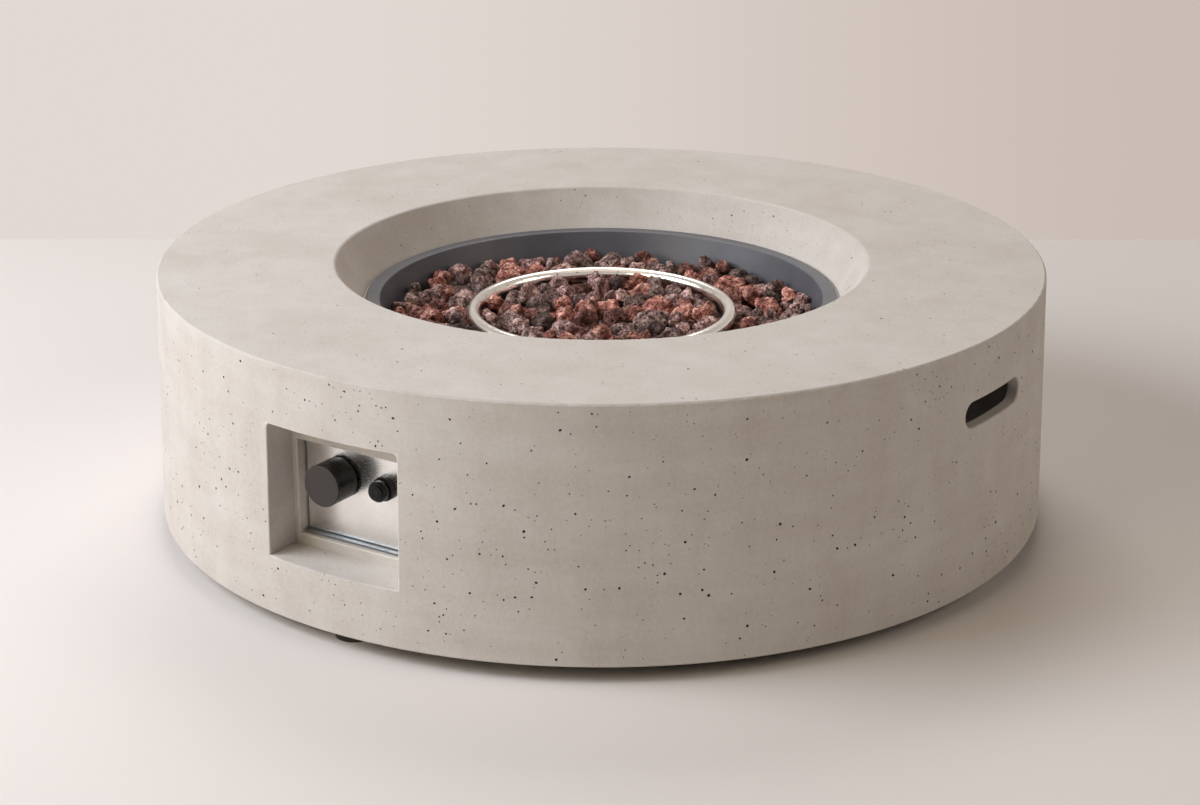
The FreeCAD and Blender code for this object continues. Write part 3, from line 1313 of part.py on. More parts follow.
def make_rocks():
    chance = random.Random(7)
    clear = size("rock_clearance")
    press = 1 - size("rock_press")
    top = size("floor_gap") + size("body_height")
    floor = top - size("ledge_depth") - size("pan_depth")
    wall_low = size("pan_rim") - size("pan_rim_width") - size("pan_slope")
    slope = size("pan_slope") / (size("pan_depth") + size("pan_rim_height"))
    ring_z = top - size("ring_drop")
    cross_z = top - size("cross_drop")
    ring = size("ring_radius")
    tube = size("ring_tube")
    highest = top - size("rock_top_drop")

    # things that the rocks lie around, each a line from one point to another with a radius
    reach = ring + size("riser_tube") + 1
    bars = [(V(-reach, 0, cross_z), V(reach, 0, cross_z), size("cross_tube")),
            (V(0, 0, floor), V(0, 0, cross_z), size("feed_nut_flats") / math.sqrt(3))]
    for sign in (1, -1):
        x, y, low = probe_point(sign)
        inner = 1 - (size("bracket_length") - 2 * size("bracket_half")) / size("probe_circle")
        bars.append((V(x, y, floor), V(x, y, floor + size("electrode_high")),
                     size("insulator_radius") + size("bracket_tube_wall")))
        bars.append((V(x, y, floor - 4), V(x * inner, y * inner, floor - 4),
                     size("bracket_half") + 2))
        bars.append((V(sign * ring, 0, cross_z), V(sign * ring, 0, ring_z), size("riser_tube")))

    def nearest_on(bar, point):
        start, end, radius = bar
        along = end - start
        share = (point - start).dot(along) / along.dot(along)
        return start + along * min(1.0, max(0.0, share))

    obstacles = []
    for start, end, radius in bars:
        steps = int((end - start).Length / 4) + 1
        for k in range(steps + 1):
            obstacles.append((start + (end - start) * (k / steps), radius))

    radii = []
    for k in range(900):
        share = chance.random() ** 1.5
        radii.append(size("rock_small") + share * (size("rock_large") - size("rock_small")))
    radii.sort(key=lambda radius: chance.uniform(0, 9) - radius)

    rocks = []

    def landing(x, y, radius):
        height = floor + radius * press
        under = None
        for index, (centre, other) in enumerate(rocks):
            apart = (centre.x - x) ** 2 + (centre.y - y) ** 2
            total = ((other + radius) * press) ** 2
            if apart < total:
                level = centre.z + math.sqrt(total - apart)
                if level > height:
                    height = level
                    under = index
        for centre, other in obstacles:
            apart = (centre.x - x) ** 2 + (centre.y - y) ** 2
            total = (other + radius * press) ** 2
            if apart < total:
                level = centre.z + math.sqrt(total - apart)
                if level > height:
                    height = level
                    under = -1 if centre.z < cross_z - 1 else "cross"
        return height, under

    def clear_of_ring(x, y, z, radius):
        across = abs(math.hypot(x, y) - ring)
        if math.hypot(across, z - ring_z) < radius * press + tube + 0.4:
            return False
        return z < ring_z or across > radius * 0.8 + tube

    found = []
    for radius in radii:
        best = None
        for attempt in range(40):
            turn = chance.uniform(0, 2 * math.pi)
            out = wall_low * math.sqrt(chance.random())
            x = out * math.cos(turn)
            y = out * math.sin(turn)
            z, under = landing(x, y, radius)
            side = wall_low + slope * (z - floor)
            if under == -1 or out + radius * press * 1.03 > side or z + radius * press > highest:
                continue
            if not clear_of_ring(x, y, z, radius):
                continue
            if best is None or z - radius < best[2] - best[4]:
                best = (x, y, z, under, radius)
        if best is None:
            continue
        found.append(best)
        rocks.append((V(*best[:3]), radius))
    print("lava rocks:", len(rocks), "of", len(radii))

    kinds = {"lava_rocks_red": [], "lava_rocks_mauve": [], "lava_rocks_grey": []}
    names = list(kinds)
    wall_in = slope / math.hypot(1, slope)
    for index, (centre, radius) in enumerate(rocks):
        planes = [(V(0, 0, -1), centre.z - floor - clear)]
        touching = []
        for other, (place_, reach) in enumerate(rocks):
            toward = place_ - centre
            apart = toward.Length
            if other == index or apart > reach + radius:
                continue
            toward.normalize()
            room = (apart * apart + radius * radius - reach * reach) / (2 * apart)
            planes.append((toward, room - clear))
            touching.append(toward)
        for bar in bars:
            toward = nearest_on(bar, centre) - centre
            apart = toward.Length
            if apart < radius + bar[2] + 1:
                toward.normalize()
                planes.append((toward, apart - bar[2] - 3 * clear))
        out = math.hypot(centre.x, centre.y)
        if out > 1:
            away = V(centre.x / out, centre.y / out, 0)
            toward = away * ring + V(0, 0, ring_z) - centre
            apart = toward.Length
            bulge = 0 if out > ring else radius * radius / (2 * (ring - tube))
            if apart < radius + tube + 2:
                toward.normalize()
                planes.append((toward, apart - tube - 3 * clear - bulge))
            to_wall = (wall_low + slope * (centre.z - floor) - out) * math.cos(math.asin(wall_in))
            bulge = radius * radius / (2 * wall_low)
            planes.append((V(away.x, away.y, -wall_in), to_wall - bulge - 3 * clear))
        if found[index][3] is None:
            touching.append(V(0, 0, -1))
        if found[index][3] == "cross":
            toward = nearest_on(bars[0], centre) - centre
            touching.append(toward.normalize())
        corners = rock_corners(chance, centre, radius - clear, planes, touching)
        kinds[chance.choices(names, (4, 3, 3))[0]].append(convex_solid(corners))
    for name, solids in kinds.items():
        shape_node(name, Part.makeCompound(solids))


make_concrete()
make_feet()
make_pan()
make_burner()
make_mixer()
make_hose()
make_hose_ends()
make_tray()
make_panel()
make_knob()
make_valve()
make_springs()
make_igniter()
make_probes()
make_leads()
make_rocks()
doc.recompute()

for thing in doc.Objects:
    if "Invalid" in thing.State or "Error" in thing.State:
        raise RuntimeError("failed object: " + thing.Label)
for piece in NODES:
    if piece.Shape.isNull() or not piece.Shape.isValid():
        raise RuntimeError("bad shape: " + piece.Label)
    if piece.Shape.Volume <= 0:
        raise RuntimeError("no volume: " + piece.Label)

os.makedirs("parts", exist_ok=True)
for piece in NODES:
    piece.Shape.exportStep("parts/" + piece.Label + ".step")
print(len(NODES), "pieces written")
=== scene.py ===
import json
import math
import random

import bmesh
import bpy
import numpy as np
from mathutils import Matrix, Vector
from mathutils.kdtree import KDTree


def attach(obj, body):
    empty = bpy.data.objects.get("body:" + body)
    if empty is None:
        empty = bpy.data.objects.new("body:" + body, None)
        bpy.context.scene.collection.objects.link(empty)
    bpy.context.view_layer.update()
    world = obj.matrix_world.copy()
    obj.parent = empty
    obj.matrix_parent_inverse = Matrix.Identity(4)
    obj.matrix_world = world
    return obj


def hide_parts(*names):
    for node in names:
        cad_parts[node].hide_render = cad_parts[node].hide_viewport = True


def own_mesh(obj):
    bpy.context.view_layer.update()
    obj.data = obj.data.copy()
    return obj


# Round concrete fire pit table with lava rock, a ring burner and a recessed control panel.
# Metres, +Z up. The recess faces -Y and the hand slots are at +X and -X.

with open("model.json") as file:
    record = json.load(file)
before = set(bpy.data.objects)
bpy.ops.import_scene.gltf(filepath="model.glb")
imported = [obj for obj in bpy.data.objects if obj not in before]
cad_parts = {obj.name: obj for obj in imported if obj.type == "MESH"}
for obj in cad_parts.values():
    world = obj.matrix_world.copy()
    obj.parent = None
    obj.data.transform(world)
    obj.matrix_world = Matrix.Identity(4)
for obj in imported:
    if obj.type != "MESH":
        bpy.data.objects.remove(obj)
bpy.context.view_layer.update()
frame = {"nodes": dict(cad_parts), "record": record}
NODES = frame["nodes"]


# Sizes of the concrete shell
BASE_RADIUS = 0.5335
TOP_RADIUS = 0.527
BASE_HEIGHT = 0.018
TOP_HEIGHT = 0.308
MOUTH_RADIUS = 0.318
LEDGE_RADIUS = 0.286
LEDGE_HEIGHT = 0.258

# Half width, low edge and high edge of the recess, and of the window in its back wall
RECESS = (0.0873, 0.0854, 0.2374)
WINDOW = (0.0810, 0.0974, 0.2074)
WINDOW_FACE = -0.480

# Middle and half size of a hand slot, along Y and along Z, and the least X of its wall
SLOT_MIDDLE = (-0.0155, 0.229)
SLOT_HALF = (0.0633, 0.0148)
SLOT_WALL = 0.4

# The knob's front face is the part with a smaller Y than this
KNOB_FACE = -0.5020


# Camera and stage
CAMERA_AT = Vector((1.6425, -2.5157, 1.2007))
CAMERA_TO = Vector((-0.0014, -0.0009, 0.1208))
CAMERA_LENS = 78.34
VIEW_TURN = math.radians(33.14)
TO_RIGHT = Vector((math.cos(VIEW_TURN), math.sin(VIEW_TURN), 0))
TO_BACK = Vector((-math.sin(VIEW_TURN), math.cos(VIEW_TURN), 0))


def make_camera():
    data = bpy.data.cameras.new("camera")
    data.lens = CAMERA_LENS
    data.sensor_width = 36
    data.clip_start = 0.05
    data.clip_end = 60
    camera = bpy.data.objects.new("camera", data)
    camera.location = CAMERA_AT
    camera.rotation_mode = "QUATERNION"
    camera.rotation_quaternion = (CAMERA_TO - CAMERA_AT).to_track_quat("-Z", "Y")
    bpy.context.scene.collection.objects.link(camera)
    bpy.context.scene.camera = camera


def view_point(right, back, up):
    """A point given as seen from the camera's side: to the right, to the back, up."""
    return TO_RIGHT * right + TO_BACK * back + Vector((0, 0, up))


def area_light(name, at, to, size, power, color):
    data = bpy.data.lights.new(name, "AREA")
    data.shape = "RECTANGLE"
    data.size, data.size_y = size
    data.energy = power
    data.color = color
    lamp = bpy.data.objects.new(name, data)
    lamp.location = at
    lamp.rotation_mode = "QUATERNION"
    lamp.rotation_quaternion = (to - at).to_track_quat("-Z", "Y")
    bpy.context.scene.collection.objects.link(lamp)


# The factor and the two colours that go into a colour mix node, and the colour that comes out
MIX_INPUTS = (0, 6, 7)
MIXED = 2


class Nodes:
    """Short names for building a material's nodes."""

    def __init__(self, name):
        self.material = bpy.data.materials.new(name)
        self.material.use_nodes = True
        self.tree = self.material.node_tree
        self.tree.nodes.clear()
        output = self.add("ShaderNodeOutputMaterial")
        self.shader = self.add("ShaderNodeBsdfPrincipled")
        self.link(self.shader, "BSDF", output, "Surface")

    def add(self, kind, **values):
        made = self.tree.nodes.new(kind)
        for key, value in values.items():
            setattr(made, key, value)
        return made

    def link(self, source, out, target, into):
        self.tree.links.new(source.outputs[out], target.inputs[into])

    def fixed(self, **values):
        """Sets numbers on the shader's own inputs."""
        for key, value in values.items():
            self.shader.inputs[key.replace("_", " ")].default_value = value

    def place(self, scale=(1, 1, 1)):
        """The piece's own coordinates in metres, stretched."""
        coordinates = self.add("ShaderNodeTexCoord")
        mapping = self.add("ShaderNodeMapping")
        mapping.inputs["Scale"].default_value = scale
        self.link(coordinates, "Object", mapping, "Vector")
        return mapping

    def noise(self, scale, detail=4, roughness=0.55, stretch=(1, 1, 1), distortion=0):
        made = self.add("ShaderNodeTexNoise")
        made.inputs["Scale"].default_value = scale
        made.inputs["Detail"].default_value = detail
        made.inputs["Roughness"].default_value = roughness
        made.inputs["Distortion"].default_value = distortion
        self.link(self.place(stretch), "Vector", made, "Vector")
        return made

    def cells(self, scale):
        made = self.add("ShaderNodeTexVoronoi")
        made.inputs["Scale"].default_value = scale
        self.link(self.place(), "Vector", made, "Vector")
        return made

    def ramp(self, source, out, stops):
        """A ramp from (place, grey or colour) stops."""
        made = self.add("ShaderNodeValToRGB")
        elements = made.color_ramp.elements
        while len(elements) > 1:
            elements.remove(elements[-1])
        for k, (at, color) in enumerate(stops):
            element = elements[0] if k == 0 else elements.new(at)
            element.position = at
            element.color = (*color, 1) if isinstance(color, tuple) else (color, color, color, 1)
        self.link(source, out, made, "Fac")
        return made

    def range(self, source, out, low, high, to_low, to_high):
        made = self.add("ShaderNodeMapRange")
        limits = {"From Min": low, "From Max": high, "To Min": to_low, "To Max": to_high}
        for key, value in limits.items():
            made.inputs[key].default_value = value
        self.link(source, out, made, "Value")
        return made

    def mix(self, kind, factor, first, second):
        """A colour mix. Each of the three is a number, a colour, or a (node, output) pair."""
        made = self.add("ShaderNodeMix", data_type="RGBA", blend_type=kind)
        for index, value in zip(MIX_INPUTS, (factor, first, second)):
            if isinstance(value, tuple) and isinstance(value[0], bpy.types.Node):
                self.tree.links.new(value[0].outputs[value[1]], made.inputs[index])
            elif isinstance(value, tuple):
                made.inputs[index].default_value = (*value, 1)
            else:
                made.inputs[index].default_value = value
        return made

    def math(self, kind, first, second=0.0):
        """One step of arithmetic. Each of the two is a number or a (node, output) pair."""
        made = self.add("ShaderNodeMath", operation=kind)
        for index, value in ((0, first), (1, second)):
            if isinstance(value, tuple):
                self.tree.links.new(value[0].outputs[value[1]], made.inputs[index])
            else:
                made.inputs[index].default_value = value
        return made

    def near(self, source, out, value, spare):
        """One where the value is within the spare of the given one, and zero elsewhere."""
        made = self.math("COMPARE", (source, out), value)
        made.inputs[2].default_value = spare
        return made

    def bump(self, source, out, strength, distance, after=None):
        made = self.add("ShaderNodeBump")
        made.inputs["Strength"].default_value = strength
        made.inputs["Distance"].default_value = distance
        self.link(source, out, made, "Height")
        if after is not None:
            self.link(after, "Normal", made, "Normal")
        self.link(made, "Normal", self.shader, "Normal")
        return made


# Concrete: its tones, the colour of its painted edge highlight, and the painted shade of its air
# holes
CONCRETE_DARK = (0.594, 0.544, 0.503)
CONCRETE_LIGHT = (0.627, 0.576, 0.538)
CONCRETE_EDGE_HIGHLIGHT = (0.780, 0.735, 0.690)
CONCRETE_HOLE_SHADE = (0.135, 0.115, 0.095)

# The breadth of the painted edge highlight. The outside wall is where radius plus lean times
# height passes its reach.
EDGE_BREADTH = 0.0012
EDGE_MARGIN = 0.001
WALL_LEAN = 0.0224
WALL_REACH = 0.5320
RECESS_SIDE = -0.45


def painted_edge_highlights(n):
    """One along the edges of the recess and of its window, where the painted highlight goes, and
    zero elsewhere.
    """
    place = n.add("ShaderNodeTexCoord")
    parts = n.add("ShaderNodeSeparateXYZ")
    n.link(place, "Object", parts, "Vector")
    across = n.math("ABSOLUTE", (parts, "X"))
    flat = n.add("ShaderNodeCombineXYZ")
    n.link(parts, "X", flat, "X")
    n.link(parts, "Y", flat, "Y")
    radius = n.add("ShaderNodeVectorMath", operation="LENGTH")
    n.link(flat, "Vector", radius, 0)
    lean = n.math("MULTIPLY", (parts, "Z"), WALL_LEAN)
    beyond = n.math("ADD", (radius, "Value"), (lean, 0))
    front = n.math("LESS_THAN", (parts, "Y"), RECESS_SIDE)
    at_wall = n.math("GREATER_THAN", (beyond, 0), WALL_REACH)
    at_window = n.near(parts, "Y", WINDOW_FACE, EDGE_BREADTH)
    edges = None
    for (side, low, high), here in ((RECESS, at_wall), (WINDOW, at_window)):
        half = (high - low) / 2 + EDGE_MARGIN
        beside = n.near(across, 0, side, EDGE_BREADTH)
        within = n.near(parts, "Z", low + half, half)
        upright = n.math("MULTIPLY", (beside, 0), (within, 0))
        below = n.near(parts, "Z", low, EDGE_BREADTH)
        above = n.near(parts, "Z", high, EDGE_BREADTH)
        between = n.math("LESS_THAN", (across, 0), side)
        level = n.math("MULTIPLY", (n.math("ADD", (below, 0), (above, 0)), 0), (between, 0))
        line = n.math("MAXIMUM", (upright, 0), (level, 0))
        line = n.math("MULTIPLY", (line, 0), (n.math("MULTIPLY", (here, 0), (front, 0)), 0))
        edges = line if edges is None else n.math("MAXIMUM", (edges, 0), (line, 0))
    return edges


def pin_holes(n):
    """One at the smallest air holes, which only some of the cells have, and zero elsewhere. These
    holes get painted shade.
    """
    marks = None
    for scale, share, wide in ((165, 0.13, 0.15), (75, 0.035, 0.12)):
        holes = n.cells(scale)
        seen = n.add("ShaderNodeSeparateColor")
        n.link(holes, "Color", seen, "Color")
        few = n.ramp(seen, "Red", [(1 - share - 0.01, 0.0), (1 - share, 1.0)])
        near = n.ramp(holes, "Distance", [(wide * 0.55, 1.0), (wide, 0.0)])
        hole = n.math("MULTIPLY", (few, "Color"), (near, "Color"))
        marks = hole if marks is None else n.math("MAXIMUM", (marks, 0), (hole, 0))
    return marks


def make_concrete():
    n = Nodes("cast_concrete")
    n.fixed(Metallic=0.0, Specular_IOR_Level=0.3)
    broad = n.noise(2.6, 5, 0.55)
    cloudy = n.noise(13, 6, 0.6, distortion=0.5)
    band = n.noise(5, 5, 0.6, stretch=(1, 1, 7))
    run = n.noise(26, 4, 0.6, stretch=(1, 1, 0.09))
    fine = n.noise(260, 3, 0.6)
    sand = n.cells(520)
    base = n.ramp(broad, "Fac", [(0.3, CONCRETE_DARK), (0.7, CONCRETE_LIGHT)])
    out = "Color"
    # each tone's own width, and its share in the whole
    tones = ((cloudy, 0.062, 0.7), (band, 0.050, 0.6), (run, 0.038, 0.6), (fine, 0.065, 0.5))
    for made, width, share in tones:
        tone = n.ramp(made, "Fac", [(0.30, 0.5 - width), (0.70, 0.5 + width)])
        base = n.mix("OVERLAY", share, (base, out), (tone, "Color"))
        out = MIXED
    edges = painted_edge_highlights(n)
    # painted highlight: the edges of the recess and of its window are made paler
    edge_highlight = n.range(cloudy, "Fac", 0.35, 0.65, 0.3, 0.9)
    edge_highlight = n.math("MULTIPLY", (edges, 0), (edge_highlight, "Result"))
    base = n.mix("MIX", (edge_highlight, 0), (base, MIXED), CONCRETE_EDGE_HIGHLIGHT)
    marks = pin_holes(n)
    # painted shade: the smallest air holes are darkened
    base = n.mix("MIX", (marks, 0), (base, MIXED), CONCRETE_HOLE_SHADE)
    n.link(base, MIXED, n.shader, "Base Color")
    rough = n.range(cloudy, "Fac", 0.3, 0.7, 0.60, 0.76)
    n.link(rough, "Result", n.shader, "Roughness")
    first = n.bump(broad, "Fac", 0.3, 0.005)
    second = n.bump(cloudy, "Fac", 0.2, 0.0012, first)
    third = n.bump(fine, "Fac", 0.35, 0.0004, second)
    fourth = n.bump(sand, "Distance", 0.12, 0.0004, third)
    n.bump(marks, 0, -0.8, 0.0008, fourth)
    return n.material


def make_metal(name, color, roughness, spread=0.06, grain=(1, 1, 1), scale=180, bump=0.05):
    """Bare metal with a fine grain. grain stretches it to brushing lines."""
    n = Nodes(name)
    n.fixed(Metallic=1.0)
    stain = n.noise(22, 4, 0.6)
    line = n.noise(scale, 3, 0.6, stretch=grain)
    dark = tuple(c * 0.86 for c in color)
    base = n.ramp(stain, "Fac", [(0.3, dark), (0.7, color)])
    n.link(base, "Color", n.shader, "Base Color")
    rough = n.range(line, "Fac", 0.3, 0.7, roughness - spread, roughness + spread)
    n.link(rough, "Result", n.shader, "Roughness")
    n.bump(line, "Fac", bump, 0.0002)
    return n.material


def make_plain(name, color, roughness, coat=0.0, scale=400, bump=0.1, spread=0.08, tint=0.8,
               gloss=0.5):
    """Plastic, rubber, paint or ceramic with a moulded or cast grain."""
    n = Nodes(name)
    n.fixed(Metallic=0.0, Coat_Weight=coat, Coat_Roughness=0.12, Specular_IOR_Level=gloss)
    stain = n.noise(30, 4, 0.6)
    grain = n.noise(scale, 3, 0.6)
    base = n.ramp(stain, "Fac", [(0.3, tuple(c * tint for c in color)), (0.7, color)])
    n.link(base, "Color", n.shader, "Base Color")
    rough = n.range(grain, "Fac", 0.3, 0.7, max(0.02, roughness - spread), roughness + spread)
    n.link(rough, "Result", n.shader, "Roughness")
    n.bump(grain, "Fac", bump, 0.0003)
    return n.material


def make_rock(name, dark, mid, light):
    """Porous lava rock. Each stone has its own tone."""
    n = Nodes(name)
    n.fixed(Metallic=0.0, Roughness=0.9, Specular_IOR_Level=0.3)
    tone = n.add("ShaderNodeAttribute", attribute_name="tone")
    patch = n.noise(85, 4, 0.6)
    speck = n.noise(620, 3, 0.65)
    base = n.ramp(patch, "Fac", [(0.36, dark), (0.50, mid), (0.66, light)])
    shade = n.range(tone, "Fac", 0, 1, 0.42, 1.50)
    base = n.mix("MULTIPLY", 1.0, (base, "Color"), (shade, "Result"))
    dust = n.ramp(speck, "Fac", [(0.32, 0.34), (0.5, 0.5), (0.72, 0.68)])
    base = n.mix("OVERLAY", 0.8, (base, MIXED), (dust, "Color"))
    depth = None
    # the pores are darkened with painted shade, and the same ramp sinks them by bump
    for scale, low, high in ((300, 0.16, 0.46), (650, 0.14, 0.42)):
        pores = n.cells(scale)
        pit = n.ramp(pores, "Distance", [(low, 0.22), (high, 1.0)])
        base = n.mix("MULTIPLY", 0.85, (base, MIXED), (pit, "Color"))
        depth = n.bump(pit, "Color", 1.0, 0.6 / scale, depth)
    n.link(base, MIXED, n.shader, "Base Color")
    n.bump(speck, "Fac", 0.6, 0.0010, depth)
    return n.material


def make_knob_plastic():
    """Glossy black sides and a satin grey front face."""
    n = Nodes("knob_moulding")
    n.fixed(Metallic=0.0, Specular_IOR_Level=0.25)
    place = n.add("ShaderNodeTexCoord")
    parts = n.add("ShaderNodeSeparateXYZ")
    n.link(place, "Object", parts, "Vector")
    face = n.math("LESS_THAN", (parts, "Y"), KNOB_FACE)
    stain = n.noise(40, 4, 0.6)
    grain = n.noise(700, 3, 0.6)
    side = n.ramp(stain, "Fac", [(0.3, (0.008, 0.0075, 0.0075)), (0.7, (0.012, 0.011, 0.011))])
    front = n.ramp(stain, "Fac", [(0.3, (0.048, 0.041, 0.038)), (0.7, (0.057, 0.048, 0.045))])
    base = n.mix("MIX", (face, 0), (side, "Color"), (front, "Color"))
    n.link(base, MIXED, n.shader, "Base Color")
    smooth = n.range(grain, "Fac", 0.3, 0.7, 0.25, 0.32)
    rough = n.range(face, 0, 0, 1, 0, 0.26)
    total = n.math("ADD", (smooth, "Result"), (rough, "Result"))
    n.link(total, 0, n.shader, "Roughness")
    n.bump(grain, "Fac", 0.04, 0.0001)
    return n.material


MATERIALS = {
    "concrete": make_concrete(),
    # painted shade inside the cut air holes
    "concrete_hole_shade": make_plain("painted_hole_shade", (0.075, 0.062, 0.050), 0.95, scale=900, bump=0.4,
                                tint=0.5),
    "foot_rubber": make_plain("black_rubber", (0.022, 0.021, 0.020), 0.72),
    "zinc_steel": make_metal("zinc_plated_steel", (0.62, 0.62, 0.60), 0.36),
    "brass": make_metal("turned_brass", (0.72, 0.55, 0.28), 0.28),
    "pan_steel": make_plain("dark_pan_coat", (0.092, 0.093, 0.112), 0.38, scale=900, bump=0.06),
    "burner_steel": make_metal("polished_stainless", (0.95, 0.92, 0.87), 0.19, 0.04),
    "panel_steel": make_metal("bright_stainless_sheet", (0.93, 0.915, 0.89), 0.25, 0.03,
                              (1, 1, 14), 160, 0.03),
    "tray_steel": make_metal("dull_stainless_sheet", (0.30, 0.32, 0.34), 0.52, 0.06,
                             (1, 1, 14), 160, 0.04),
    "knob_plastic": make_knob_plastic(),
    "valve_alloy": make_metal("die_cast_aluminium", (0.66, 0.66, 0.66), 0.48),
    "magnet_metal": make_metal("nickel_plate", (0.70, 0.69, 0.66), 0.22),
    "hose_cover": make_plain("black_hose", (0.03, 0.03, 0.03), 0.62),
    "black_plastic": make_plain("black_moulding", (0.008, 0.0075, 0.0075), 0.22, scale=700,
                                bump=0.03, spread=0.03, gloss=0.25),
    "housing_plastic": make_plain("black_housing", (0.03, 0.03, 0.03), 0.5),
    "nylon": make_plain("white_nylon", (0.75, 0.75, 0.72), 0.5),
    "battery_jacket": make_plain("dark_jacket", (0.10, 0.12, 0.10), 0.35),
    "white_ceramic": make_plain("glazed_ceramic", (0.88, 0.87, 0.84), 0.2, coat=0.4),
    "probe_steel": make_metal("heat_tinted_steel", (0.45, 0.42, 0.38), 0.34),
    "lead_silicone": make_plain("red_silicone", (0.45, 0.10, 0.07), 0.6),
    "lead_copper": make_metal("copper_tube", (0.72, 0.42, 0.30), 0.32),
    "rock_red": make_rock("lava_red", (0.120, 0.042, 0.034), (0.460, 0.180, 0.140),
                          (0.860, 0.490, 0.400)),
    "rock_mauve": make_rock("lava_mauve", (0.115, 0.060, 0.055), (0.400, 0.225, 0.205),
                            (0.820, 0.580, 0.520)),
    "rock_grey": make_rock("lava_grey", (0.065, 0.038, 0.035), (0.260, 0.160, 0.145),
                           (0.600, 0.430, 0.390)),
}

# Pieces whose finish differs from the rest of their slot
OWN_FINISH = {"panel_tray": "tray_steel", "control_knob": "knob_plastic"}


def dress_nodes():
    for row in frame["record"]["subparts"]:
        piece = NODES[row["node"]]
        for place in piece.material_slots:
            place.material = MATERIALS[OWN_FINISH.get(row["node"], row["material_slot"])]


# Larger air holes of the cast concrete: how many, and where on each surface
WALL_HOLES = 1300
TOP_HOLES = 100
BOWL_HOLES = 40
WALL_SPAN = (0.026, 0.300)
TOP_RING = (0.327, 0.520)
BOWL_SPAN = (0.265, 0.300)
OPENING_MARGIN = 0.004
HOLE_SPACING = 2.6

# Swarms of holes on the wall, their share, and their spread around it and up it
SWARMS = 90
SWARM_SPAN = (0.04, 0.29)
SWARM_SHARE = 0.4
SWARM_TURN = 0.05
SWARM_RISE = 0.020

# A hole's least radius, the usual addition to it and the most
WALL_HOLE = (0.00055, 0.00034, 0.00085)
TOP_HOLE = (0.0005, 0.00030, 0.0010)
BOWL_HOLE = (0.0005, 0.00035, 0.0010)

# Holes above this radius get the finer mesh. A hole's lump is wider than the hole, and sunk in.
BIG_HOLE = 0.0013
HOLE_SWELL = 1.25
HOLE_SINK = 0.6


def wall_place(turn, height):
    """A point on the outside wall and the direction straight out of it."""
    lean = (TOP_RADIUS - BASE_RADIUS) / (TOP_HEIGHT - BASE_HEIGHT)
    radius = BASE_RADIUS + lean * (height - BASE_HEIGHT)
    out = Vector((math.cos(turn), math.sin(turn), -lean)).normalized()
    return Vector((radius * math.cos(turn), radius * math.sin(turn), height)), out


def bowl_place(turn, height):
    """A point on the slope of the bowl's mouth and the direction straight out of it."""
    lean = (MOUTH_RADIUS - LEDGE_RADIUS) / (TOP_HEIGHT - LEDGE_HEIGHT)
    radius = LEDGE_RADIUS + lean * (height - LEDGE_HEIGHT)
    out = Vector((-math.cos(turn), -math.sin(turn), lean)).normalized()
    return Vector((radius * math.cos(turn), radius * math.sin(turn), height)), out


def near_opening(at, spare):
    """Whether a point of the outside wall is at the recess or at a hand slot."""
    side, low, high = RECESS
    if at.y < 0 and abs(at.x) < side + spare and low - spare < at.z < high + spare:
        return True
    along = abs(at.y - SLOT_MIDDLE[0]) < SLOT_HALF[0] + spare
    level = abs(at.z - SLOT_MIDDLE[1]) < SLOT_HALF[1] + spare
    return abs(at.x) > SLOT_WALL and along and level


def hole_radius(least, usual, most):
    """A radius that is mostly small."""
    return least + min(random.expovariate(1 / usual), most)


def hole_places():
    """Where the holes are, the way out of each and its radius."""
    random.seed(31)
    found = []

    def keep(at, out, radius):
        if all((at - other[0]).length > HOLE_SPACING * (radius + other[2]) for other in found):
            found.append((at, out, radius))

    swarms = [(random.uniform(0, 2 * math.pi), random.uniform(*SWARM_SPAN)) for _ in range(SWARMS)]
    while len(found) < WALL_HOLES:
        radius = hole_radius(*WALL_HOLE)
        turn = random.uniform(0, 2 * math.pi)
        height = random.uniform(*WALL_SPAN)
        if random.random() < SWARM_SHARE:
            swarm = random.choice(swarms)
            turn = random.gauss(swarm[0], SWARM_TURN)
            height = random.gauss(swarm[1], SWARM_RISE)
            height = min(WALL_SPAN[1], max(WALL_SPAN[0], height))
        at, out = wall_place(turn, height)
        if not near_opening(at, OPENING_MARGIN + radius):
            keep(at, out, radius)
    while len(found) < WALL_HOLES + TOP_HOLES:
        reach = math.sqrt(random.uniform(TOP_RING[0] ** 2, TOP_RING[1] ** 2))
        turn = random.uniform(0, 2 * math.pi)
        at = Vector((reach * math.cos(turn), reach * math.sin(turn), TOP_HEIGHT))
        keep(at, Vector((0, 0, 1)), hole_radius(*TOP_HOLE))
    while len(found) < WALL_HOLES + TOP_HOLES + BOWL_HOLES:
        at, out = bowl_place(random.uniform(0, 2 * math.pi), random.uniform(*BOWL_SPAN))
        keep(at, out, hole_radius(*BOWL_HOLE))
    return found


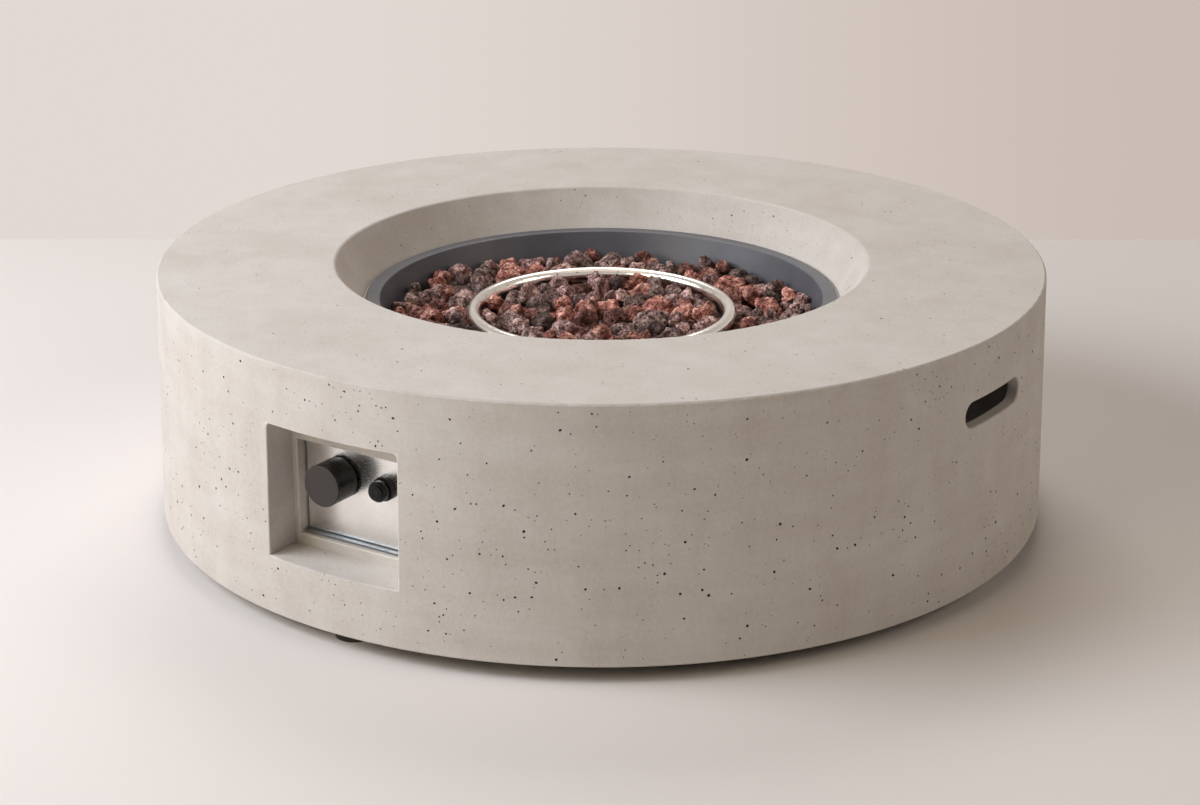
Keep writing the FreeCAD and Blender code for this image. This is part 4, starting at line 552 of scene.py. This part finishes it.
def hole_cutter():
    """One mesh of uneven round lumps, each sunk into the surface past its middle."""
    chance = np.random.default_rng(31)
    balls = (sphere_mesh(2), sphere_mesh(3))
    points, faces = [], []
    start = 0
    for at, out, radius in hole_places():
        directions, triangles = balls[1 if radius > BIG_HOLE else 0]
        across = out.orthogonal().normalized()
        along = out.cross(across)
        turn = chance.uniform(0, math.pi)
        first = across * math.cos(turn) + along * math.sin(turn)
        second = out.cross(first)
        uneven = 1 + value_noise(directions * 1.1 + start, 1.0, 9) * 0.22
        uneven += chance.uniform(-0.04, 0.04, len(directions))
        stretch = [1, chance.uniform(0.62, 1.0), 1.1]
        shape = directions * (uneven * radius * HOLE_SWELL)[:, None] * stretch
        placed = (shape[:, :1] * np.array(first) + shape[:, 1:2] * np.array(second)
                  + shape[:, 2:] * np.array(out) + np.array(at - out * radius * HOLE_SINK))
        points.append(placed)
        faces.append(triangles + start)
        start += len(placed)
    mesh = bpy.data.meshes.new("hole_cutter")
    mesh.from_pydata(np.concatenate(points).tolist(), [], np.concatenate(faces).tolist())
    return mesh


# Corners at a smaller radius than this belong to the bowl, and larger ones to the wall
BOWL_LIMIT = 0.4

# The most that a corner kept by the cut may stray from where it was
SAME_POINT = 4e-6


def surface_normal(at):
    """The smooth normal at a new corner on the wall, the top or the bowl's slope."""
    radius = math.hypot(at.x, at.y)
    turn = math.atan2(at.y, at.x)
    if at.z > TOP_HEIGHT - 0.0002 and radius > MOUTH_RADIUS:
        return Vector((0, 0, 1))
    if radius > BOWL_LIMIT:
        return wall_place(turn, at.z)[1]
    return bowl_place(turn, at.z)[1]


def smooth_shell(mesh, source):
    """Gives the cut shell the source's own normals, and lets the holes shade by themselves."""
    tree = KDTree(len(source.loops))
    faces = [0] * len(source.loops)
    for face in source.polygons:
        for k in face.loop_indices:
            faces[k] = face.index
    for k, loop in enumerate(source.loops):
        tree.insert(source.vertices[loop.vertex_index].co, k)
    tree.balance()
    kept = [value.vector.copy() for value in source.corner_normals]
    known = [[(source.polygons[faces[k]].normal, kept[k])
              for _, k, _ in tree.find_range(corner.co, SAME_POINT)]
             for corner in mesh.vertices]
    normals = [Vector((0, 0, 0))] * len(mesh.loops)
    for face in mesh.polygons:
        if face.material_index == 1:
            continue
        for k in face.loop_indices:
            corner = mesh.loops[k].vertex_index
            if known[corner]:
                normals[k] = max(known[corner], key=lambda pair: pair[0].dot(face.normal))[1]
            else:
                normals[k] = surface_normal(mesh.vertices[corner].co)
    mesh.polygons.foreach_set("use_smooth", [True] * len(mesh.polygons))
    mesh.normals_split_custom_set(normals)


def make_shell():
    """The concrete with its air holes cut in."""
    source = NODES["concrete_body"].data
    shape = bmesh.new()
    shape.from_mesh(source)
    bmesh.ops.remove_doubles(shape, verts=shape.verts, dist=1e-6)
    mesh = bpy.data.meshes.new("concrete_shell")
    shape.to_mesh(mesh)
    shape.free()
    cutter = bpy.data.objects.new("hole_cutter", hole_cutter())
    piece = bpy.data.objects.new("concrete_shell", mesh)
    for thing in (piece, cutter):
        bpy.context.scene.collection.objects.link(thing)
        thing.data.materials.clear()
        thing.data.materials.append(MATERIALS["concrete"])
        thing.data.materials.append(MATERIALS["concrete_hole_shade"])
    cutter.data.polygons.foreach_set("material_index", [1] * len(cutter.data.polygons))
    holes = piece.modifiers.new("holes", "BOOLEAN")
    holes.operation = "DIFFERENCE"
    holes.solver = "MANIFOLD"
    holes.object = cutter
    graph = bpy.context.evaluated_depsgraph_get()
    made = bpy.data.meshes.new_from_object(piece.evaluated_get(graph))
    piece.modifiers.clear()
    bpy.data.objects.remove(cutter)
    smooth_shell(made, source)
    made.name = "concrete_shell"
    piece.data = made
    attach(piece, "root")
    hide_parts("concrete_body")


def make_spring(node):
    """A coil spring, copied from its own mesh and carried by the root."""
    piece = bpy.data.objects.new(node + "_coil", NODES[node].data.copy())
    bpy.context.scene.collection.objects.link(piece)
    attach(piece, "root")
    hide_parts(node)
    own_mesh(piece)


# Lava rock
def value_noise(points, scale, seed):
    """Smooth noise from -1 to 1 at an array of points."""
    at = points * scale + seed * 17.3
    cell = np.floor(at).astype(np.int64)
    part = at - cell
    part = part * part * (3 - 2 * part)
    total = np.zeros(len(points))
    for dx in (0, 1):
        for dy in (0, 1):
            for dz in (0, 1):
                h = hash_cell(cell[:, 0] + dx, cell[:, 1] + dy, cell[:, 2] + dz, seed)
                weight = (np.where(dx, part[:, 0], 1 - part[:, 0])
                          * np.where(dy, part[:, 1], 1 - part[:, 1])
                          * np.where(dz, part[:, 2], 1 - part[:, 2]))
                total += h * weight
    return total * 2 - 1


def hash_cell(x, y, z, seed):
    """A number from 0 to 1 for each cell."""
    h = (x * 73856093) ^ (y * 19349663) ^ (z * 83492791) ^ (seed * 2654435)
    h = (h ^ (h >> 13)) * 1274126177
    h = h & 0x7FFFFFFF
    h = ((h ^ (h >> 16)) * 668265263) & 0x7FFFFFFF
    return (h & 0xFFFFFF) / float(0xFFFFFF)


def nearest_pit(points, scale, seed):
    """Distance to the nearest scattered point, in cells."""
    at = points * scale + seed * 3.7
    cell = np.floor(at).astype(np.int64)
    best = np.full(len(points), 9.0)
    for dx in (-1, 0, 1):
        for dy in (-1, 0, 1):
            for dz in (-1, 0, 1):
                x, y, z = cell[:, 0] + dx, cell[:, 1] + dy, cell[:, 2] + dz
                gap = np.stack([x + hash_cell(x, y, z, seed) - at[:, 0],
                                y + hash_cell(x, y, z, seed + 1) - at[:, 1],
                                z + hash_cell(x, y, z, seed + 2) - at[:, 2]], 1)
                best = np.minimum(best, np.sqrt((gap ** 2).sum(1)))
    return best


def sphere_mesh(level):
    ball = bmesh.new()
    bmesh.ops.create_icosphere(ball, subdivisions=level, radius=1)
    points = np.array([v.co for v in ball.verts])
    faces = np.array([[v.index for v in f.verts] for f in ball.faces])
    ball.free()
    return points / np.linalg.norm(points, axis=1)[:, None], faces


def loose_solids(piece):
    """Corner points and face planes of each separate solid of a mesh."""
    shape = bmesh.new()
    shape.from_mesh(piece.data)
    bmesh.ops.remove_doubles(shape, verts=shape.verts, dist=1e-6)
    shape.verts.ensure_lookup_table()
    seen = set()
    found = []
    for vert in shape.verts:
        if vert.index in seen:
            continue
        stack = [vert]
        seen.add(vert.index)
        group = []
        while stack:
            one = stack.pop()
            group.append(one.index)
            for edge in one.link_edges:
                other = edge.other_vert(one)
                if other.index not in seen:
                    seen.add(other.index)
                    stack.append(other)
        planes = {}
        for index in group:
            for face in shape.verts[index].link_faces:
                planes[face.index] = (np.array(face.normal), np.array(face.verts[0].co))
        corners = np.array([shape.verts[i].co for i in sorted(group)])
        found.append((corners, list(planes.values())))
    shape.free()
    return found


# How far a stone swells past its solid, how sharp its corners stay and how many chips it has
ROCK_SWELL = 1.14
ROCK_SHARPNESS = 48.0
ROCK_CHIPS = 6

# Stones that reach further than this get the finer mesh, and the reach of a usual stone
BIG_STONE = 0.0150
USUAL_STONE = 0.02


def stone(points, planes, level_meshes, seed):
    """One stone about the corners of its solid: rounded, dented and full of holes."""
    middle = points.mean(0)
    normals = np.array([p[0] for p in planes])
    away = np.array([np.dot(p[0], p[1] - middle) for p in planes])
    normals = normals[away > 1e-5]
    away = away[away > 1e-5]
    reach = np.linalg.norm(points - middle, axis=1).max()
    directions, faces = level_meshes[1 if reach > BIG_STONE else 0]
    facing = np.clip(directions @ normals.T, 0, None) / away
    radius = (facing ** ROCK_SHARPNESS).sum(1) ** (-1 / ROCK_SHARPNESS)
    surface = directions * radius[:, None] * ROCK_SWELL
    chance = np.random.default_rng(int(seed * 100) + 7)
    for _ in range(ROCK_CHIPS):
        aim = chance.normal(size=3)
        aim /= np.linalg.norm(aim)
        chip = np.clip(directions @ aim - chance.uniform(0.60, 0.82), 0, None)
        surface = surface - directions * (chip * reach * chance.uniform(0.5, 1.2))[:, None]
    size = reach / USUAL_STONE
    offset = middle * 7 + seed * 0.37
    lumps = value_noise(surface + offset, 90, 3) * 0.0010 * size
    ridges = (0.35 - np.abs(value_noise(surface + offset, 170, 7))) * 0.0016 * size
    small = value_noise(surface + offset, 420, 5) * 0.0007
    pits = nearest_pit(surface + offset, 190, 11)
    holes = np.clip(1 - pits / 0.50, 0, 1) ** 0.7 * -0.0020 * size
    fine = nearest_pit(surface + offset, 420, 23)
    little = np.clip(1 - fine / 0.5, 0, 1) * -0.0009
    surface = surface + directions * (lumps + ridges + small + holes + little)[:, None]
    return surface + middle, faces


def make_rocks():
    meshes = (sphere_mesh(4), sphere_mesh(5))
    random.seed(5)
    for color in ("red", "mauve", "grey"):
        name = "lava_rocks_" + color
        points, faces, tones = [], [], []
        start = 0
        for number, (corners, planes) in enumerate(loose_solids(NODES[name])):
            made, triangles = stone(corners, planes, meshes, number * 1.7 + len(color))
            points.append(made)
            faces.append(triangles + start)
            tones.append(np.full(len(made), random.random()))
            start += len(made)
        mesh = bpy.data.meshes.new("stones_" + color)
        mesh.from_pydata(np.concatenate(points).tolist(), [], np.concatenate(faces).tolist())
        mesh.polygons.foreach_set("use_smooth", [True] * len(mesh.polygons))
        tone = mesh.attributes.new("tone", "FLOAT", "POINT")
        tone.data.foreach_set("value", np.concatenate(tones).astype(np.float32))
        mesh.update()
        piece = bpy.data.objects.new("stones_" + color, mesh)
        bpy.context.scene.collection.objects.link(piece)
        mesh.materials.append(MATERIALS["rock_" + color])
        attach(piece, "root")
        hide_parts(name)


# Stage and light
FLOOR_COLOR = (0.797, 0.742, 0.719)
FLOOR_FRONT = -6
FLOOR_BACK = 1.13
FLOOR_SIDE = 5.0


def make_floor():
    corners = [(-FLOOR_SIDE, FLOOR_FRONT), (FLOOR_SIDE, FLOOR_FRONT),
               (FLOOR_SIDE, FLOOR_BACK), (-FLOOR_SIDE, FLOOR_BACK)]
    mesh = bpy.data.meshes.new("floor")
    mesh.from_pydata([view_point(x, y, 0) for x, y in corners], [], [(0, 1, 2, 3)])
    floor = bpy.data.objects.new("floor", mesh)
    bpy.context.scene.collection.objects.link(floor)
    n = Nodes("pale_floor")
    n.fixed(Roughness=0.9, Specular_IOR_Level=0.1)
    haze = n.noise(0.8, 2, 0.5)
    dark = tuple(c * 0.985 for c in FLOOR_COLOR)
    base = n.ramp(haze, "Fac", [(0.3, dark), (0.7, FLOOR_COLOR)])
    n.link(base, "Color", n.shader, "Base Color")
    mesh.materials.append(n.material)


# The room: its faint fill light, and the colours that are seen and reflected, among them the
# wall's painted light and shade
WORLD_FILL = (0.030, 0.027, 0.024)
WALL_LIT = (0.760, 0.690, 0.655)
WALL_SHADED = (0.590, 0.505, 0.455)
CEILING = (0.520, 0.475, 0.435)
WALL_BLEND = (-0.13, 0.23)
CEILING_BLEND = (0.10, 0.50)


def make_world():
    world = bpy.data.worlds.new("studio")
    world.use_nodes = True
    tree = world.node_tree
    tree.nodes.clear()
    output = tree.nodes.new("ShaderNodeOutputWorld")
    fill = tree.nodes.new("ShaderNodeBackground")
    fill.inputs["Color"].default_value = (*WORLD_FILL, 1)
    wall = tree.nodes.new("ShaderNodeBackground")
    # the wall behind is painted lit on the left and painted shaded on the right, and the room is
    # darker overhead
    direction = tree.nodes.new("ShaderNodeTexCoord")
    along = tree.nodes.new("ShaderNodeVectorMath")
    along.operation = "DOT_PRODUCT"
    along.inputs[1].default_value = TO_RIGHT
    tree.links.new(direction.outputs["Generated"], along.inputs[0])
    parts = tree.nodes.new("ShaderNodeSeparateXYZ")
    tree.links.new(direction.outputs["Generated"], parts.inputs[0])
    blends = ((along.outputs["Value"], WALL_BLEND, WALL_SHADED),
              (parts.outputs["Z"], CEILING_BLEND, CEILING))
    factor, first, second = MIX_INPUTS
    color = None
    for source, (low, high), end in blends:
        spread = tree.nodes.new("ShaderNodeMapRange")
        spread.interpolation_type = "SMOOTHSTEP"
        spread.inputs["From Min"].default_value = low
        spread.inputs["From Max"].default_value = high
        tree.links.new(source, spread.inputs["Value"])
        mixed = tree.nodes.new("ShaderNodeMix")
        mixed.data_type = "RGBA"
        tree.links.new(spread.outputs["Result"], mixed.inputs[factor])
        if color is None:
            mixed.inputs[first].default_value = (*WALL_LIT, 1)
        else:
            tree.links.new(color, mixed.inputs[first])
        mixed.inputs[second].default_value = (*end, 1)
        color = mixed.outputs[MIXED]
    tree.links.new(color, wall.inputs["Color"])
    rays = tree.nodes.new("ShaderNodeLightPath")
    either = tree.nodes.new("ShaderNodeMath")
    either.operation = "MAXIMUM"
    tree.links.new(rays.outputs["Is Camera Ray"], either.inputs[0])
    tree.links.new(rays.outputs["Is Glossy Ray"], either.inputs[1])
    mix = tree.nodes.new("ShaderNodeMixShader")
    tree.links.new(either.outputs[0], mix.inputs[0])
    tree.links.new(fill.outputs[0], mix.inputs[1])
    tree.links.new(wall.outputs[0], mix.inputs[2])
    tree.links.new(mix.outputs[0], output.inputs["Surface"])
    bpy.context.scene.world = world


# Name, turn from the camera's side, rise, distance, size, power and colour of each lamp
LAMPS = (
    ("key", -75, 36, 3.2, 1.8, 66, (0.80, 0.88, 1.0)),
    ("side", -90, 28, 6.0, 3.0, 109, (1.0, 0.96, 0.89)),
    ("front", -45, 25, 6.0, 3.0, 77, (1.0, 0.91, 0.69)),
    ("over", 0, 89, 3.5, 3.0, 10, (1.0, 0.80, 0.62)),
    ("right", 75, 30, 6.0, 3.0, 70, (1.0, 0.91, 0.79)),
    ("back", 180, 50, 6.0, 3.0, 124, (1.0, 0.98, 0.96)),
)


# The lamps stand around the middle of the object and face it
LAMPS_FACE = Vector((0, 0, 0.15))


def make_lights():
    for name, turn, rise, distance, size, power, color in LAMPS:
        turn = math.radians(turn)
        rise = math.radians(rise)
        ground = distance * math.cos(rise)
        up = distance * math.sin(rise) + LAMPS_FACE.z
        at = view_point(ground * math.sin(turn), -ground * math.cos(turn), up)
        area_light(name, at, LAMPS_FACE, (size, size), power, color)


make_camera()
dress_nodes()
make_shell()
make_spring("valve_spring")
make_spring("igniter_spring")
make_rocks()
make_floor()
make_world()
make_lights()
bpy.context.scene.view_settings.view_transform = "Standard"
